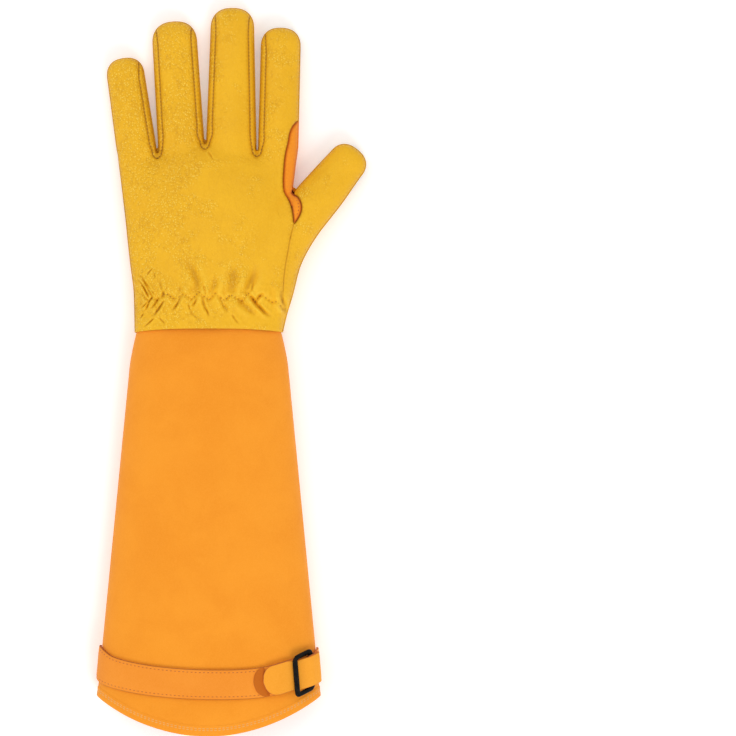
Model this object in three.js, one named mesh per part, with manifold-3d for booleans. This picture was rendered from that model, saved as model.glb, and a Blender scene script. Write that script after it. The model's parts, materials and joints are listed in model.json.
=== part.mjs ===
// Rose pruning gauntlet: a left-hand leather garden glove with a long canvas forearm cuff.
// It lies palm down. X runs to the thumb side, Y to the fingertips, Z up; lengths are in mm.
import * as THREE from 'three';
import Module from 'manifold-3d';

const wasm = await Module();
wasm.setup();

// Driving sizes
const HAND_LENGTH = 214;        // wrist seam to the middle fingertip
const HAND_WIDTH = 119;         // across the palm below the finger roots
const HAND_THICKNESS = 34;      // height of the relaxed palm as it lies
const FINGER_THICKNESS = 20;    // height of a finger at its root
const WRIST_WIDTH = HAND_WIDTH / 1.19;   // across the wrist seam
const CUFF_LENGTH = 266;        // wrist seam to the lowest point of the hem
const HEM_WIDTH = 147;          // across the two corners of the hem
const CUFF_THICKNESS = 42;      // height of the cuff at the hem as it lies
const LEATHER = 1.3;            // wall of the hand
const CANVAS = 1.2;             // wall of the cuff
const PATCH = 1.5;              // patches, caps and touch tips
const GAP = 0.3;                // free space kept between neighbouring pieces
const STRAP_WIDTH = 19.5;
const STRAP_WALL = 1.6;
const TUCK = 9;                 // cuff tucked inside the wrist of the hand
const BUCKLE_BAR = 4;           // width of the buckle's bars
const BUCKLE_WALL = 2;          // thickness of the buckle's bars

const LIFT = PATCH + GAP;       // the palm leather lies this high, on its patches
const SEAM_SHARE = 0.45;        // height of the widest line, as a share of the thickness
const FLATNESS = 4;             // how square the underside is where it rests
const FLAT_RATE = 1.03;         // above 1 the middle of the underside is truly flat

// Palm outline: along is a share of the hand length, left and right are shares of the hand width,
// thick is a share of the hand thickness.
const PALM_ROWS = [
  { along: 0.000, left: -0.418, right: 0.421, thick: 1.00 },
  { along: 0.020, left: -0.419, right: 0.422, thick: 1.00 },
  { along: 0.043, left: -0.421, right: 0.424, thick: 1.00 },
  { along: 0.064, left: -0.423, right: 0.426, thick: 0.99 },
  { along: 0.083, left: -0.425, right: 0.428, thick: 0.98 },
  { along: 0.102, left: -0.427, right: 0.430, thick: 0.97 },
  { along: 0.121, left: -0.430, right: 0.432, thick: 0.98 },
  { along: 0.143, left: -0.434, right: 0.436, thick: 0.99 },
  { along: 0.170, left: -0.438, right: 0.440, thick: 0.99 },
  { along: 0.205, left: -0.444, right: 0.446, thick: 0.98 },
  { along: 0.270, left: -0.455, right: 0.452, thick: 0.97 },
  { along: 0.340, left: -0.470, right: 0.455, thick: 0.95 },
  { along: 0.410, left: -0.485, right: 0.456, thick: 0.90 },
  { along: 0.470, left: -0.498, right: 0.470, thick: 0.79 },
  { along: 0.515, left: -0.508, right: 0.482, thick: 0.66 },
  { along: 0.545, left: -0.514, right: 0.488, thick: 0.54 },
];
const ROOT_CROWN = { across: -0.022, spread: 0.18, rise: 0.026 };   // the roots step forward in the middle

// Fingers: root and tip centres (across as a share of the hand width, along as a share of the hand
// length), half widths as shares of the hand width, cap is where the orange or black end begins.
const FINGERS = [
  { name: 'pinky', rootX: -0.4038, rootY: 0.555, rootHalf: 0.1122, tipX: -0.463, tipY: 0.783, tipHalf: 0.105, cap: 0.684 },
  { name: 'ring', rootX: -0.155, rootY: 0.570, rootHalf: 0.1298, tipX: -0.1916, tipY: 0.885, tipHalf: 0.1245, cap: 0.793 },
  { name: 'middle', rootX: 0.1223, rootY: 0.570, rootHalf: 0.1408, tipX: 0.128, tipY: 0.9285, tipHalf: 0.1215, cap: 0.840 },
  { name: 'index', rootX: 0.379, rootY: 0.555, rootHalf: 0.1092, tipX: 0.3966, tipY: 0.873, tipHalf: 0.111, cap: 0.846 },
];
const CROTCHES = [
  { name: 'pinky_ring', across: -0.288, along: 0.549 },
  { name: 'ring_middle', across: -0.022, along: 0.577 },
  { name: 'middle_index', across: 0.2664, along: 0.555 },
];
const FOURCHETTE_INSET = 0.025;   // seams sit this far in from the finger edges
const TIP_POWER = 2.4;            // squareness of the fingertips

// Thumb: centre line, half width as shares of the hand width, thick as a share of the hand thickness
const THUMB_ROWS = [
  { across: 0.300, along: 0.022, half: 0.096, thick: 0.72 },
  { across: 0.347, along: 0.123, half: 0.122, thick: 0.77 },
  { across: 0.390, along: 0.231, half: 0.133, thick: 0.80 },
  { across: 0.498, along: 0.336, half: 0.137, thick: 0.76 },
  { across: 0.576, along: 0.389, half: 0.136, thick: 0.71 },
  { across: 0.631, along: 0.432, half: 0.130, thick: 0.65 },
  { across: 0.711, along: 0.486, half: 0.125, thick: 0.58 },
  { across: 0.759, along: 0.512, half: 0.122, thick: 0.55 },
];
const THUMB_TIP_LENGTH = 0.105;   // rounding beyond the last row, share of the hand width

// Outlines in plan, each corner as [share of the hand width, share of the hand length]
const WEB_BACK = [[0.520, 0.672], [0.460, 0.611], [0.433, 0.524], [0.427, 0.447], [0.455, 0.379],
  [0.483, 0.327], [0.527, 0.367], [0.512, 0.416], [0.540, 0.462], [0.590, 0.512], [0.56, 0.56], [0.56, 0.672]];
const WEB_PALM = [[0.520, 0.672], [0.470, 0.694], [0.441, 0.632], [0.420, 0.555], [0.406, 0.478],
  [0.388, 0.438], [0.417, 0.410], [0.459, 0.410], [0.502, 0.432], [0.545, 0.465], [0.590, 0.512],
  [0.56, 0.56], [0.56, 0.672]];
const THUMB_BACK = [[0.483, 0.327], [0.460, 0.250], [0.440, 0.154], [0.432, 0.097], [0.418, 0.006],
  [0.418, -0.05], [1.2, -0.05], [1.2, 0.70], [0.62, 0.70], [0.540, 0.462], [0.50, 0.40]];
const THUMB_PALM = [[0.790, 0.437], [0.606, 0.353], [0.500, 0.271], [0.401, 0.191], [0.323, 0.100],
  [0.275, 0.009], [0.270, -0.05], [1.2, -0.05], [1.2, 0.437]];
const INDEX_WALL = [[0.450, 1.10], [0.450, 0.700], [0.470, 0.694], [0.520, 0.672], [0.70, 0.672], [0.70, 1.10]];
const PALM_PATCH = [[-0.407, 0.554], [-0.457, 0.532], [-0.468, 0.497], [-0.468, 0.453], [-0.423, 0.430],
  [-0.279, 0.436], [-0.135, 0.443], [-0.084, 0.424], [-0.100, 0.399], [-0.177, 0.392], [-0.332, 0.375],
  [-0.429, 0.362], [-0.457, 0.335], [-0.441, 0.266], [-0.430, 0.193], [-0.401, 0.129], [-0.349, 0.092],
  [-0.274, 0.080], [-0.200, 0.092], [-0.124, 0.143], [-0.058, 0.212], [0.017, 0.291], [0.098, 0.355],
  [0.207, 0.404], [0.304, 0.453], [0.366, 0.485], [0.385, 0.515], [0.354, 0.537], [0.297, 0.532],
  [0.250, 0.537], [0.215, 0.564], [0.165, 0.579], [0.126, 0.569], [0.089, 0.532], [0.050, 0.512],
  [0.002, 0.497], [-0.044, 0.512], [-0.083, 0.547], [-0.133, 0.566], [-0.177, 0.554], [-0.223, 0.522],
  [-0.272, 0.507], [-0.318, 0.517], [-0.362, 0.544]];
const HEEL_PATCH = [[0.311, 0.392], [0.377, 0.370], [0.388, 0.330], [0.358, 0.271], [0.298, 0.193],
  [0.211, 0.114], [0.142, 0.077], [0.086, 0.070], [0.022, 0.080], [-0.009, 0.114], [0.001, 0.168],
  [0.040, 0.232], [0.104, 0.311], [0.175, 0.365], [0.244, 0.387]];

// Puckers at the shirred line of the back: across and half are shares of the hand width,
// rise is in mm, lean turns the fold outward, up and down are its reach in mm.
const SHIRR_ALONG = 0.102;
const PUCKERS = [
  { across: -0.36, half: 0.024, rise: 1.0, lean: -0.55, up: 20, down: 12 },
  { across: -0.27, half: 0.020, rise: 1.2, lean: -0.40, up: 17, down: 13 },
  { across: -0.19, half: 0.018, rise: 1.4, lean: -0.25, up: 15, down: 14 },
  { across: -0.11, half: 0.017, rise: 1.3, lean: -0.10, up: 17, down: 14 },
  { across: -0.03, half: 0.018, rise: 1.5, lean: -0.05, up: 18, down: 13 },
  { across: 0.05, half: 0.017, rise: 1.3, lean: 0.05, up: 16, down: 14 },
  { across: 0.13, half: 0.018, rise: 1.5, lean: 0.12, up: 18, down: 13 },
  { across: 0.21, half: 0.019, rise: 1.3, lean: 0.25, up: 17, down: 14 },
  { across: 0.29, half: 0.020, rise: 1.1, lean: 0.35, up: 16, down: 12 },
];

// Strap: centre line over the back of the cuff, angle round the cuff (0 is the thumb side seam),
// along is a share of the cuff length below the wrist seam.
const STRAP_LINE = [
  { angle: -4, along: 0.819 }, { angle: 10, along: 0.830 }, { angle: 24, along: 0.844 },
  { angle: 37, along: 0.858 }, { angle: 60, along: 0.873 }, { angle: 90, along: 0.878 },
  { angle: 120, along: 0.866 }, { angle: 150, along: 0.846 }, { angle: 184, along: 0.829 },
];
const BAR_ANGLES = { near: 23, far: 39 };     // where the buckle's two bars stand over the cuff
const TAIL_TIP_ANGLE = 60;

// Small numeric helpers
const mix = (a, b, t) => a + (b - a) * t;
function table(rows, key, value, at) {
  if (at <= rows[0][key]) return rows[0][value];
  for (let i = 1; i < rows.length; i += 1) {
    if (at <= rows[i][key]) {
      const t = (at - rows[i - 1][key]) / (rows[i][key] - rows[i - 1][key]);
      return mix(rows[i - 1][value], rows[i][value], t);
    }
  }
  return rows[rows.length - 1][value];
}
const vec = (p) => new THREE.Vector3(p[0], p[1], p[2]);
const plan = (outline) => outline.map(([u, v]) => [u * HAND_WIDTH, v * HAND_LENGTH]);

// Closed mesh to solid; the faces are turned outward
function solid(points, faces) {
  let six = 0;
  for (const [a, b, c] of faces) six += vec(points[a]).dot(vec(points[b]).cross(vec(points[c])));
  const turned = six < 0 ? faces.map(([a, b, c]) => [a, c, b]) : faces;
  return new wasm.Manifold(new wasm.Mesh({
    numProp: 3, vertProperties: new Float32Array(points.flat()), triVerts: new Uint32Array(turned.flat()),
  }));
}

// Skin over a row of rings, closed by a point at each end
function loft(rings, startPoint, endPoint) {
  const n = rings[0].length;
  const points = rings.flat();
  const faces = [];
  for (let r = 0; r + 1 < rings.length; r += 1) {
    for (let i = 0; i < n; i += 1) {
      const j = (i + 1) % n;
      const a = r * n + i, b = r * n + j, c = a + n, d = b + n;
      faces.push([a, b, d], [a, d, c]);
    }
  }
  const mid = (ring) => [0, 1, 2].map((k) => ring.reduce((s, p) => s + p[k], 0) / n);
  const s = points.push(startPoint || mid(rings[0])) - 1;
  const e = points.push(endPoint || mid(rings[rings.length - 1])) - 1;
  const last = (rings.length - 1) * n;
  for (let i = 0; i < n; i += 1) {
    const j = (i + 1) % n;
    faces.push([s, j, i], [e, last + i, last + j]);
  }
  return solid(points, faces);
}

// Ring of rings, for the buckle
function hoop(rings) {
  const n = rings[0].length, m = rings.length;
  const faces = [];
  for (let r = 0; r < m; r += 1) {
    for (let i = 0; i < n; i += 1) {
      const a = r * n + i, b = r * n + (i + 1) % n;
      const c = ((r + 1) % m) * n + i, d = ((r + 1) % m) * n + (i + 1) % n;
      faces.push([a, b, d], [a, d, c]);
    }
  }
  return solid(rings.flat(), faces);
}

// Cloth panel between two grids of points (rows of equal length)
function sheet(outer, inner) {
  const rows = outer.length, cols = outer[0].length, half = rows * cols;
  const points = [...outer.flat(), ...inner.flat()];
  const faces = [];
  const quad = (a, b, c, d) => faces.push([a, b, c], [a, c, d]);
  const at = (r, c) => r * cols + c;
  for (let r = 0; r + 1 < rows; r += 1) {
    for (let c = 0; c + 1 < cols; c += 1) {
      quad(at(r, c), at(r, c + 1), at(r + 1, c + 1), at(r + 1, c));
      quad(half + at(r, c), half + at(r + 1, c), half + at(r + 1, c + 1), half + at(r, c + 1));
    }
  }
  for (let c = 0; c + 1 < cols; c += 1) {
    quad(at(0, c), half + at(0, c), half + at(0, c + 1), at(0, c + 1));
    quad(at(rows - 1, c), at(rows - 1, c + 1), half + at(rows - 1, c + 1), half + at(rows - 1, c));
  }
  for (let r = 0; r + 1 < rows; r += 1) {
    quad(at(r, 0), at(r + 1, 0), half + at(r + 1, 0), half + at(r, 0));
    quad(at(r, cols - 1), half + at(r, cols - 1), half + at(r + 1, cols - 1), at(r + 1, cols - 1));
  }
  return solid(points, faces);
}

// Plan outline moved outward by a distance
function spread(outline, d) {
  if (d === 0) return outline;
  const n = outline.length;
  let area = 0;
  outline.forEach(([x, y], i) => {
    const [u, v] = outline[(i + 1) % n];
    area += x * v - u * y;
  });
  const side = area > 0 ? 1 : -1;
  return outline.map(([x, y], i) => {
    const [px, py] = outline[(i + n - 1) % n], [qx, qy] = outline[(i + 1) % n];
    const la = Math.hypot(x - px, y - py), lb = Math.hypot(qx - x, qy - y);
    const ax = (y - py) / la, ay = -(x - px) / la, bx = (qy - y) / lb, by = -(qx - x) / lb;
    const k = (side * d) / Math.max(0.5, 1 + ax * bx + ay * by);
    return [x + (ax + bx) * k, y + (ay + by) * k];
  });
}

// Upright block over an outline; place puts (outline a, outline b, depth) into space
function block(outline, low, high, place = (a, b, c) => [a, b, c]) {
  const n = outline.length;
  const caps = THREE.ShapeUtils.triangulateShape(outline.map(([a, b]) => new THREE.Vector2(a, b)), []);
  const points = [...outline.map(([a, b]) => place(a, b, low)), ...outline.map(([a, b]) => place(a, b, high))];
  const faces = [];
  for (const [a, b, c] of caps) faces.push([a, c, b], [n + a, n + b, n + c]);
  const [p, q, r] = caps[0];
  const turn = (outline[q][0] - outline[p][0]) * (outline[r][1] - outline[p][1])
    - (outline[q][1] - outline[p][1]) * (outline[r][0] - outline[p][0]);
  let area = 0;
  outline.forEach(([x, y], i) => {
    const [u, v] = outline[(i + 1) % n];
    area += x * v - u * y;
  });
  const same = (turn > 0) === (area > 0);
  for (let i = 0; i < n; i += 1) {
    const j = (i + 1) % n;
    if (same) faces.push([i, j, n + j], [i, n + j, n + i]);
    else faces.push([j, i, n + i], [j, n + i, n + j]);
  }
  return solid(points, faces);
}

// Thickness of the hand at a distance from the wrist seam: palm rows, then the fingers
const FINGER_ROWS = [
  { along: 0.60, thick: 1.00 }, { along: 0.75, thick: 0.92 }, { along: 0.90, thick: 0.84 },
  { along: 1.00, thick: 0.78 },
];
function thickness(y) {
  const v = y / HAND_LENGTH;
  const last = PALM_ROWS[PALM_ROWS.length - 1];
  if (v <= last.along) return HAND_THICKNESS * table(PALM_ROWS, 'along', 'thick', v);
  const t = Math.min(1, (v - last.along) / (FINGER_ROWS[0].along - last.along));
  return mix(HAND_THICKNESS * last.thick, FINGER_THICKNESS * table(FINGER_ROWS, 'along', 'thick', v), t);
}

// One ring of a hand section. grow moves the skin outward (inward when negative).
function ring(x, y, dirX, dirY, half, low, thick, grow, top, bottom, lift = () => 0) {
  const points = [];
  const zs = low + SEAM_SHARE * thick;
  const up = thick * (1 - SEAM_SHARE) + grow, down = thick * SEAM_SHARE + grow, wide = half + grow;
  const add = (across, z) => {
    const px = x + dirY * across, py = y - dirX * across;
    points.push([px, py, z > zs ? z + lift(px, py) : z]);
  };
  for (let i = 0; i < top; i += 1) {
    const a = (Math.PI * i) / top;
    add(wide * Math.cos(a), zs + up * Math.sin(a));
  }
  for (let i = 0; i < bottom; i += 1) {
    const a = (Math.PI * i) / bottom;
    const c = Math.cos(a), s = Math.sin(a), k = 2 / FLATNESS;
    add(-wide * Math.sign(c) * Math.abs(c) ** k, zs - down * Math.min(1, FLAT_RATE * s ** k));
  }
  return points;
}

function pucker(x, y) {
  const line = SHIRR_ALONG * HAND_LENGTH;
  const dy = y - line;
  const u = x / HAND_WIDTH;
  const inside = 1 / (1 + Math.exp((Math.abs(u + 0.02) - 0.40) / 0.02));
  let sum = -0.7 * Math.exp(-((dy / 2.6) ** 2)) * inside;
  for (const f of PUCKERS) {
    const reach = dy > 0 ? f.up : f.down;
    const off = (x - f.across * HAND_WIDTH - f.lean * Math.abs(dy)) / (f.half * HAND_WIDTH * (1 + Math.abs(dy) / 26));
    sum += f.rise * (1 - Math.exp(-((dy / 4) ** 2))) * Math.exp(-((dy / reach) ** 2)) * Math.exp(-off * off);
  }
  return sum;
}

// Palm body; the shirring shapes its top when folds is true
function palm(grow, top, bottom, folds, step = 1) {
  const rows = PALM_ROWS.filter((row, i) => i % step === 0 || i === PALM_ROWS.length - 1);
  const rings = rows.map((row) => {
    const crown = Math.max(0, (row.along - 0.40) / 0.145);
    const left = row.left * HAND_WIDTH, right = row.right * HAND_WIDTH;
    const points = ring((left + right) / 2, row.along * HAND_LENGTH, 0, 1, (right - left) / 2, LIFT,
      row.thick * HAND_THICKNESS, grow, top, bottom, folds ? pucker : undefined);
    return points.map(([x, y, z]) => {
      const off = (x / HAND_WIDTH - ROOT_CROWN.across) / ROOT_CROWN.spread;
      return [x, y + crown * ROOT_CROWN.rise * HAND_LENGTH * Math.exp(-off * off), z];
    });
  });
  if (grow !== 0) {
    const end = rings[rings.length - 1];
    rings[rings.length - 1] = end.map(([x, y, z]) => [x, y + grow, z]);
  }
  if (grow < 0) rings.unshift(rings[0].map(([x, y, z]) => [x, y - 8, z]));
  const last = PALM_ROWS[PALM_ROWS.length - 1];
  return loft(rings, undefined, [ROOT_CROWN.across * HAND_WIDTH,
    (last.along + ROOT_CROWN.rise) * HAND_LENGTH + grow, LIFT + SEAM_SHARE * last.thick * HAND_THICKNESS]);
}

// Tapered tube along a line of stations, with a rounded end
function digit(stations, tipLength, grow, count, tipSteps) {
  const rings = stations.map((s, i) => {
    // the first station is the root, sunk inside the palm
    const sunk = i === 0 ? 0.2 * s.thick : 0;
    return ring(s.x, s.y, s.dx, s.dy, s.half, LIFT + sunk, s.thick - 1.6 * sunk, grow, count, count);
  });
  const end = stations[stations.length - 1];
  const reach = tipLength + grow;
  for (const t of tipSteps) {
    const q = (1 - t ** TIP_POWER) ** (1 / TIP_POWER);
    const zs = LIFT + SEAM_SHARE * end.thick;
    const x = end.x + end.dx * reach * t, y = end.y + end.dy * reach * t;
    rings.push(ring(x, y, end.dx, end.dy, end.half, LIFT, end.thick, grow, count, count).map(([px, py, pz]) => [
      x + (px - x) * q, y + (py - y) * q, zs + (pz - zs) * q]));
  }
  const tip = [end.x + end.dx * reach, end.y + end.dy * reach, LIFT + SEAM_SHARE * end.thick];
  return loft(rings, undefined, tip);
}
const TIP_STEPS = [0.42, 0.74, 0.93];
const TIP_STEPS_INSIDE = [0.5, 0.85];

function fingerStations(f, shares) {
  const a = [f.rootX * HAND_WIDTH, f.rootY * HAND_LENGTH], b = [f.tipX * HAND_WIDTH, f.tipY * HAND_LENGTH];
  const length = Math.hypot(b[0] - a[0], b[1] - a[1]);
  const dx = (b[0] - a[0]) / length, dy = (b[1] - a[1]) / length;
  return shares.map((t) => {
    const x = mix(a[0], b[0], t), y = mix(a[1], b[1], t);
    return { x, y, dx, dy, half: mix(f.rootHalf, f.tipHalf, Math.max(0, t)) * HAND_WIDTH * (t < 0 ? 0.86 : 1),
      thick: thickness(Math.max(y, f.rootY * HAND_LENGTH)) };
  });
}
function finger(f, grow, count, shares, steps) {
  return digit(fingerStations(f, shares), f.tipHalf * HAND_WIDTH, grow, count, steps);
}
function thumbStations(step = 1) {
  const rows = THUMB_ROWS.filter((row, i) => i % step === 0 || i === THUMB_ROWS.length - 1);
  return rows.map((row, i) => {
    const p = rows[Math.max(0, i - 1)], q = rows[Math.min(rows.length - 1, i + 1)];
    const dx = (q.across - p.across) * HAND_WIDTH, dy = (q.along - p.along) * HAND_LENGTH;
    const l = Math.hypot(dx, dy);
    return { x: row.across * HAND_WIDTH, y: row.along * HAND_LENGTH, dx: dx / l, dy: dy / l,
      half: row.half * HAND_WIDTH, thick: row.thick * HAND_THICKNESS };
  });
}
const thumb = (grow, count, step, steps) => digit(thumbStations(step), THUMB_TIP_LENGTH * HAND_WIDTH, grow, count, steps);

const unite = (parts) => parts.reduce((a, b) => a.add(b));
function hand(grow, folds) {
  const inside = grow < 0;
  const shares = inside ? [-0.3, 0.02, 1] : [-0.28, 0, 0.5, 1];
  return unite([
    palm(grow, folds ? 38 : 16, inside ? 10 : 12, folds, inside ? 3 : 1),
    ...FINGERS.map((f) => finger(f, grow, inside ? 7 : 9, shares, inside ? TIP_STEPS_INSIDE : TIP_STEPS)),
    thumb(grow, inside ? 8 : 10, inside ? 2 : 1, inside ? TIP_STEPS_INSIDE : TIP_STEPS),
  ]);
}
const outerHand = hand(0, true);
const shell = outerHand.subtract(hand(-LEATHER, false));

// Zones of the panels. Each takes a grow distance, so that its neighbour can keep the gap.
const FLOOR = -5, ROOF = 70;
const SPLIT = [[-0.08, 0.388], [0.42, 0.388], [0.555, 0.285], [0.75, 0.262], [1.1, 0.235]];  // along, height over thickness
const SPLIT_THUMB = [[-2, 0.388], [0.55, 0.388], [0.90, 0.262], [2.2, 0.262]];               // along the thumb
const THUMB_AXIS = [0.643, 0.766];
function lowZone(grow) {
  const splitFingers = SPLIT.map(([v, h]) => [v * HAND_LENGTH, LIFT + h * HAND_THICKNESS + grow]);
  const fingers = block([[splitFingers[0][0], FLOOR], ...splitFingers, [1.1 * HAND_LENGTH, FLOOR]],
    -HAND_WIDTH, HAND_WIDTH * 1.5, (a, b, c) => [c, a, b]);
  const splitThumb = SPLIT_THUMB.map(([v, h]) => [v * HAND_WIDTH, LIFT + h * HAND_THICKNESS + grow]);
  const along = block([[splitThumb[0][0], FLOOR], ...splitThumb, [2.2 * HAND_WIDTH, FLOOR]],
    -2 * HAND_WIDTH, 2 * HAND_WIDTH,
    (a, b, c) => [a * THUMB_AXIS[0] + c * THUMB_AXIS[1], a * THUMB_AXIS[1] - c * THUMB_AXIS[0], b]);
  return fingers.intersect(along);
}
function webZone(grow) {
  const low = lowZone(grow);
  const back = block(spread(plan(WEB_BACK), grow), FLOOR, ROOF).subtract(lowZone(-grow - 0.05));
  return back.add(block(spread(plan(WEB_PALM), grow), FLOOR, ROOF).intersect(low));
}
function thumbZone(grow) {
  const back = block(spread(plan(THUMB_BACK), grow), FLOOR, ROOF).subtract(lowZone(-grow - 0.05));
  return back.add(block(spread(plan(THUMB_PALM), grow), FLOOR, ROOF).intersect(lowZone(grow)));
}
function fourchetteZone(i, grow) {
  const inset = FOURCHETTE_INSET * HAND_WIDTH;
  const c = [CROTCHES[i].across * HAND_WIDTH, CROTCHES[i].along * HAND_LENGTH];
  const edge = (f, side) => {
    const stations = fingerStations(f, [0.06, 0.35, 0.7, 0.95]);
    const line = stations.map((s) => [s.x + s.dy * side * (s.half - inset), s.y - s.dx * side * (s.half - inset)]);
    const e = fingerStations(f, [1])[0];
    const out = (a, b) => [e.x + e.dy * side * e.half * a + e.dx * e.half * b,
      e.y - e.dx * side * e.half * a + e.dy * e.half * b];
    return [...line, out(0.85, 0.33), out(1.12, 0.61)];
  };
  const outline = [[c[0] - inset * 0.8, c[1] - 1.4], ...edge(FINGERS[i], 1),
    ...edge(FINGERS[i + 1], -1).reverse(), [c[0] + inset * 0.8, c[1] - 1.4], [c[0], c[1] - 4.3]];
  return block(spread(outline, grow), FLOOR, ROOF);
}

const largest = (body) => body.simplify(0.03).decompose().sort((a, b) => b.volume() - a.volume())[0];
const zones = { web: webZone(GAP), thumb: thumbZone(GAP), low: lowZone(0), lowGrown: lowZone(GAP),
  fourchettes: unite([0, 1, 2].map((i) => fourchetteZone(i, GAP))) };
const indexWall = (grow) => block(spread(plan(INDEX_WALL), grow), FLOOR, ROOF);

const pieces = [];
const add = (name, body, material) => pieces.push({ name, body, material });

// Colours and finishes
const look = (color, roughness, metalness = 0) => new THREE.MeshStandardMaterial({ color, roughness, metalness });
const BACK_LEATHER = () => look(0xefb72f, 0.5);
const PALM_LEATHER = () => look(0xdda62e, 0.55);
const ORANGE_LEATHER = () => look(0xfb9434, 0.85);
const CUFF_CANVAS = () => look(0xfa9d32, 0.9);
const BLACK_LEATHER = () => look(0x303233, 0.4);
const BLACK_METAL = () => look(0x151515, 0.3, 0.8);

add('back_panel', shell.subtract(zones.web).subtract(zones.fourchettes).subtract(zones.thumb)
  .subtract(zones.lowGrown.subtract(indexWall(0))), BACK_LEATHER());
add('palm_panel', shell.intersect(zones.low).subtract(zones.web).subtract(zones.fourchettes)
  .subtract(zones.thumb).subtract(indexWall(GAP)), PALM_LEATHER());
for (let i = 0; i < 3; i += 1) {
  add(`fourchette_${CROTCHES[i].name}`, shell.intersect(fourchetteZone(i, 0)), BACK_LEATHER());
}
add('thumb_panel', shell.intersect(thumbZone(0)).subtract(zones.web), BACK_LEATHER());
add('web_patch', shell.intersect(webZone(0)), ORANGE_LEATHER());

// Patches, caps and touch tips lie under the palm leather, on the face that rests
const skin = hand(PATCH + GAP, false).subtract(hand(GAP, false));
const face = block(plan([[-1, -0.2], [1.5, -0.2], [1.5, 1.2], [-1, 1.2]]), FLOOR, LIFT + 0.24 * HAND_THICKNESS);
function fingerTip(f, margin) {
  const s = fingerStations(f, [(f.cap - f.rootY) / (f.tipY - f.rootY), 1]);
  const at = (p, a, b) => [p.x + p.dy * a + p.dx * b, p.y - p.dx * a + p.dy * b];
  const outline = [at(s[0], s[0].half - margin, 0), at(s[1], s[1].half - margin, 0)];
  for (const t of [0.35, 0.62, 0.82, 0.94, 0.94, 0.82, 0.62, 0.35]) {
    const side = outline.length < 6 ? 1 : -1;
    const q = (1 - t ** TIP_POWER) ** (1 / TIP_POWER);
    outline.push(at(s[1], side * (s[1].half - margin) * q, (s[1].half - margin) * t));
  }
  outline.push(at(s[1], margin - s[1].half, 0), at(s[0], margin - s[0].half, 0));
  return block(outline, FLOOR, ROOF);
}
const under = skin.intersect(face);
for (const f of FINGERS) {
  const name = f.name === 'index' ? 'index_touch_tip' : `${f.name}_cap`;
  add(name, under.intersect(fingerTip(f, 0.4)), f.name === 'index' ? BLACK_LEATHER() : ORANGE_LEATHER());
}
const THUMB_TIP_LINE = [[0.598, 0.524], [0.790, 0.437]];   // from the inner to the outer edge of the thumb
function thumbTip(margin) {
  const s = thumbStations();
  const e = s[s.length - 1];
  const reach = THUMB_TIP_LENGTH * HAND_WIDTH - margin, half = e.half - margin;
  const at = (a, b) => [e.x + e.dy * a + e.dx * b, e.y - e.dx * a + e.dy * b];
  const outline = [at(half, 0)];
  for (const t of [0.35, 0.62, 0.82, 0.94]) outline.push(at(half * (1 - t ** TIP_POWER) ** (1 / TIP_POWER), reach * t));
  for (const t of [0.94, 0.82, 0.62, 0.35]) outline.push(at(-half * (1 - t ** TIP_POWER) ** (1 / TIP_POWER), reach * t));
  outline.push(at(-half, 0), at(-half - 0.5, -24), at(half + 0.5, -24));
  const line = plan(THUMB_TIP_LINE);
  const dx = line[1][0] - line[0][0], dy = line[1][1] - line[0][1];
  const far = [[line[0][0] - dx, line[0][1] - dy], [line[1][0] + dx, line[1][1] + dy],
    [line[1][0] + dx - dy * 3, line[1][1] + dy + dx * 3], [line[0][0] - dx - dy * 3, line[0][1] - dy + dx * 3]];
  return block(outline, FLOOR, ROOF).intersect(block(far, FLOOR, ROOF));
}
add('thumb_touch_tip', under.intersect(thumbTip(0.4)), BLACK_LEATHER());
add('palm_patch', under.intersect(block(plan(PALM_PATCH), FLOOR, ROOF)), ORANGE_LEATHER());
add('heel_patch', under.intersect(block(plan(HEEL_PATCH), FLOOR, ROOF)), ORANGE_LEATHER());

// Cuff: half width, underside and top at a distance below the wrist seam (negative is inside the hand)
const HEM_SAG = 0.108 * CUFF_LENGTH, HEM_POWER = 2.6;
const CORNER = CUFF_LENGTH - HEM_SAG;
const NECK = LEATHER + 3.4 * GAP;
function cuffSection(down) {
  const t = Math.max(0, down) / CORNER;
  const leave = Math.min(1, Math.max(0, down / (0.055 * CUFF_LENGTH)));
  const half = mix(WRIST_WIDTH / 2 - NECK, HEM_WIDTH / 2, Math.min(1.2, t));
  const low = mix(LIFT + NECK, 0, leave);
  const high = mix(LIFT + HAND_THICKNESS - NECK, mix(0.86, 1, Math.min(1, t)) * CUFF_THICKNESS, leave ** 0.6);
  return { half, low, high };
}
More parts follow.
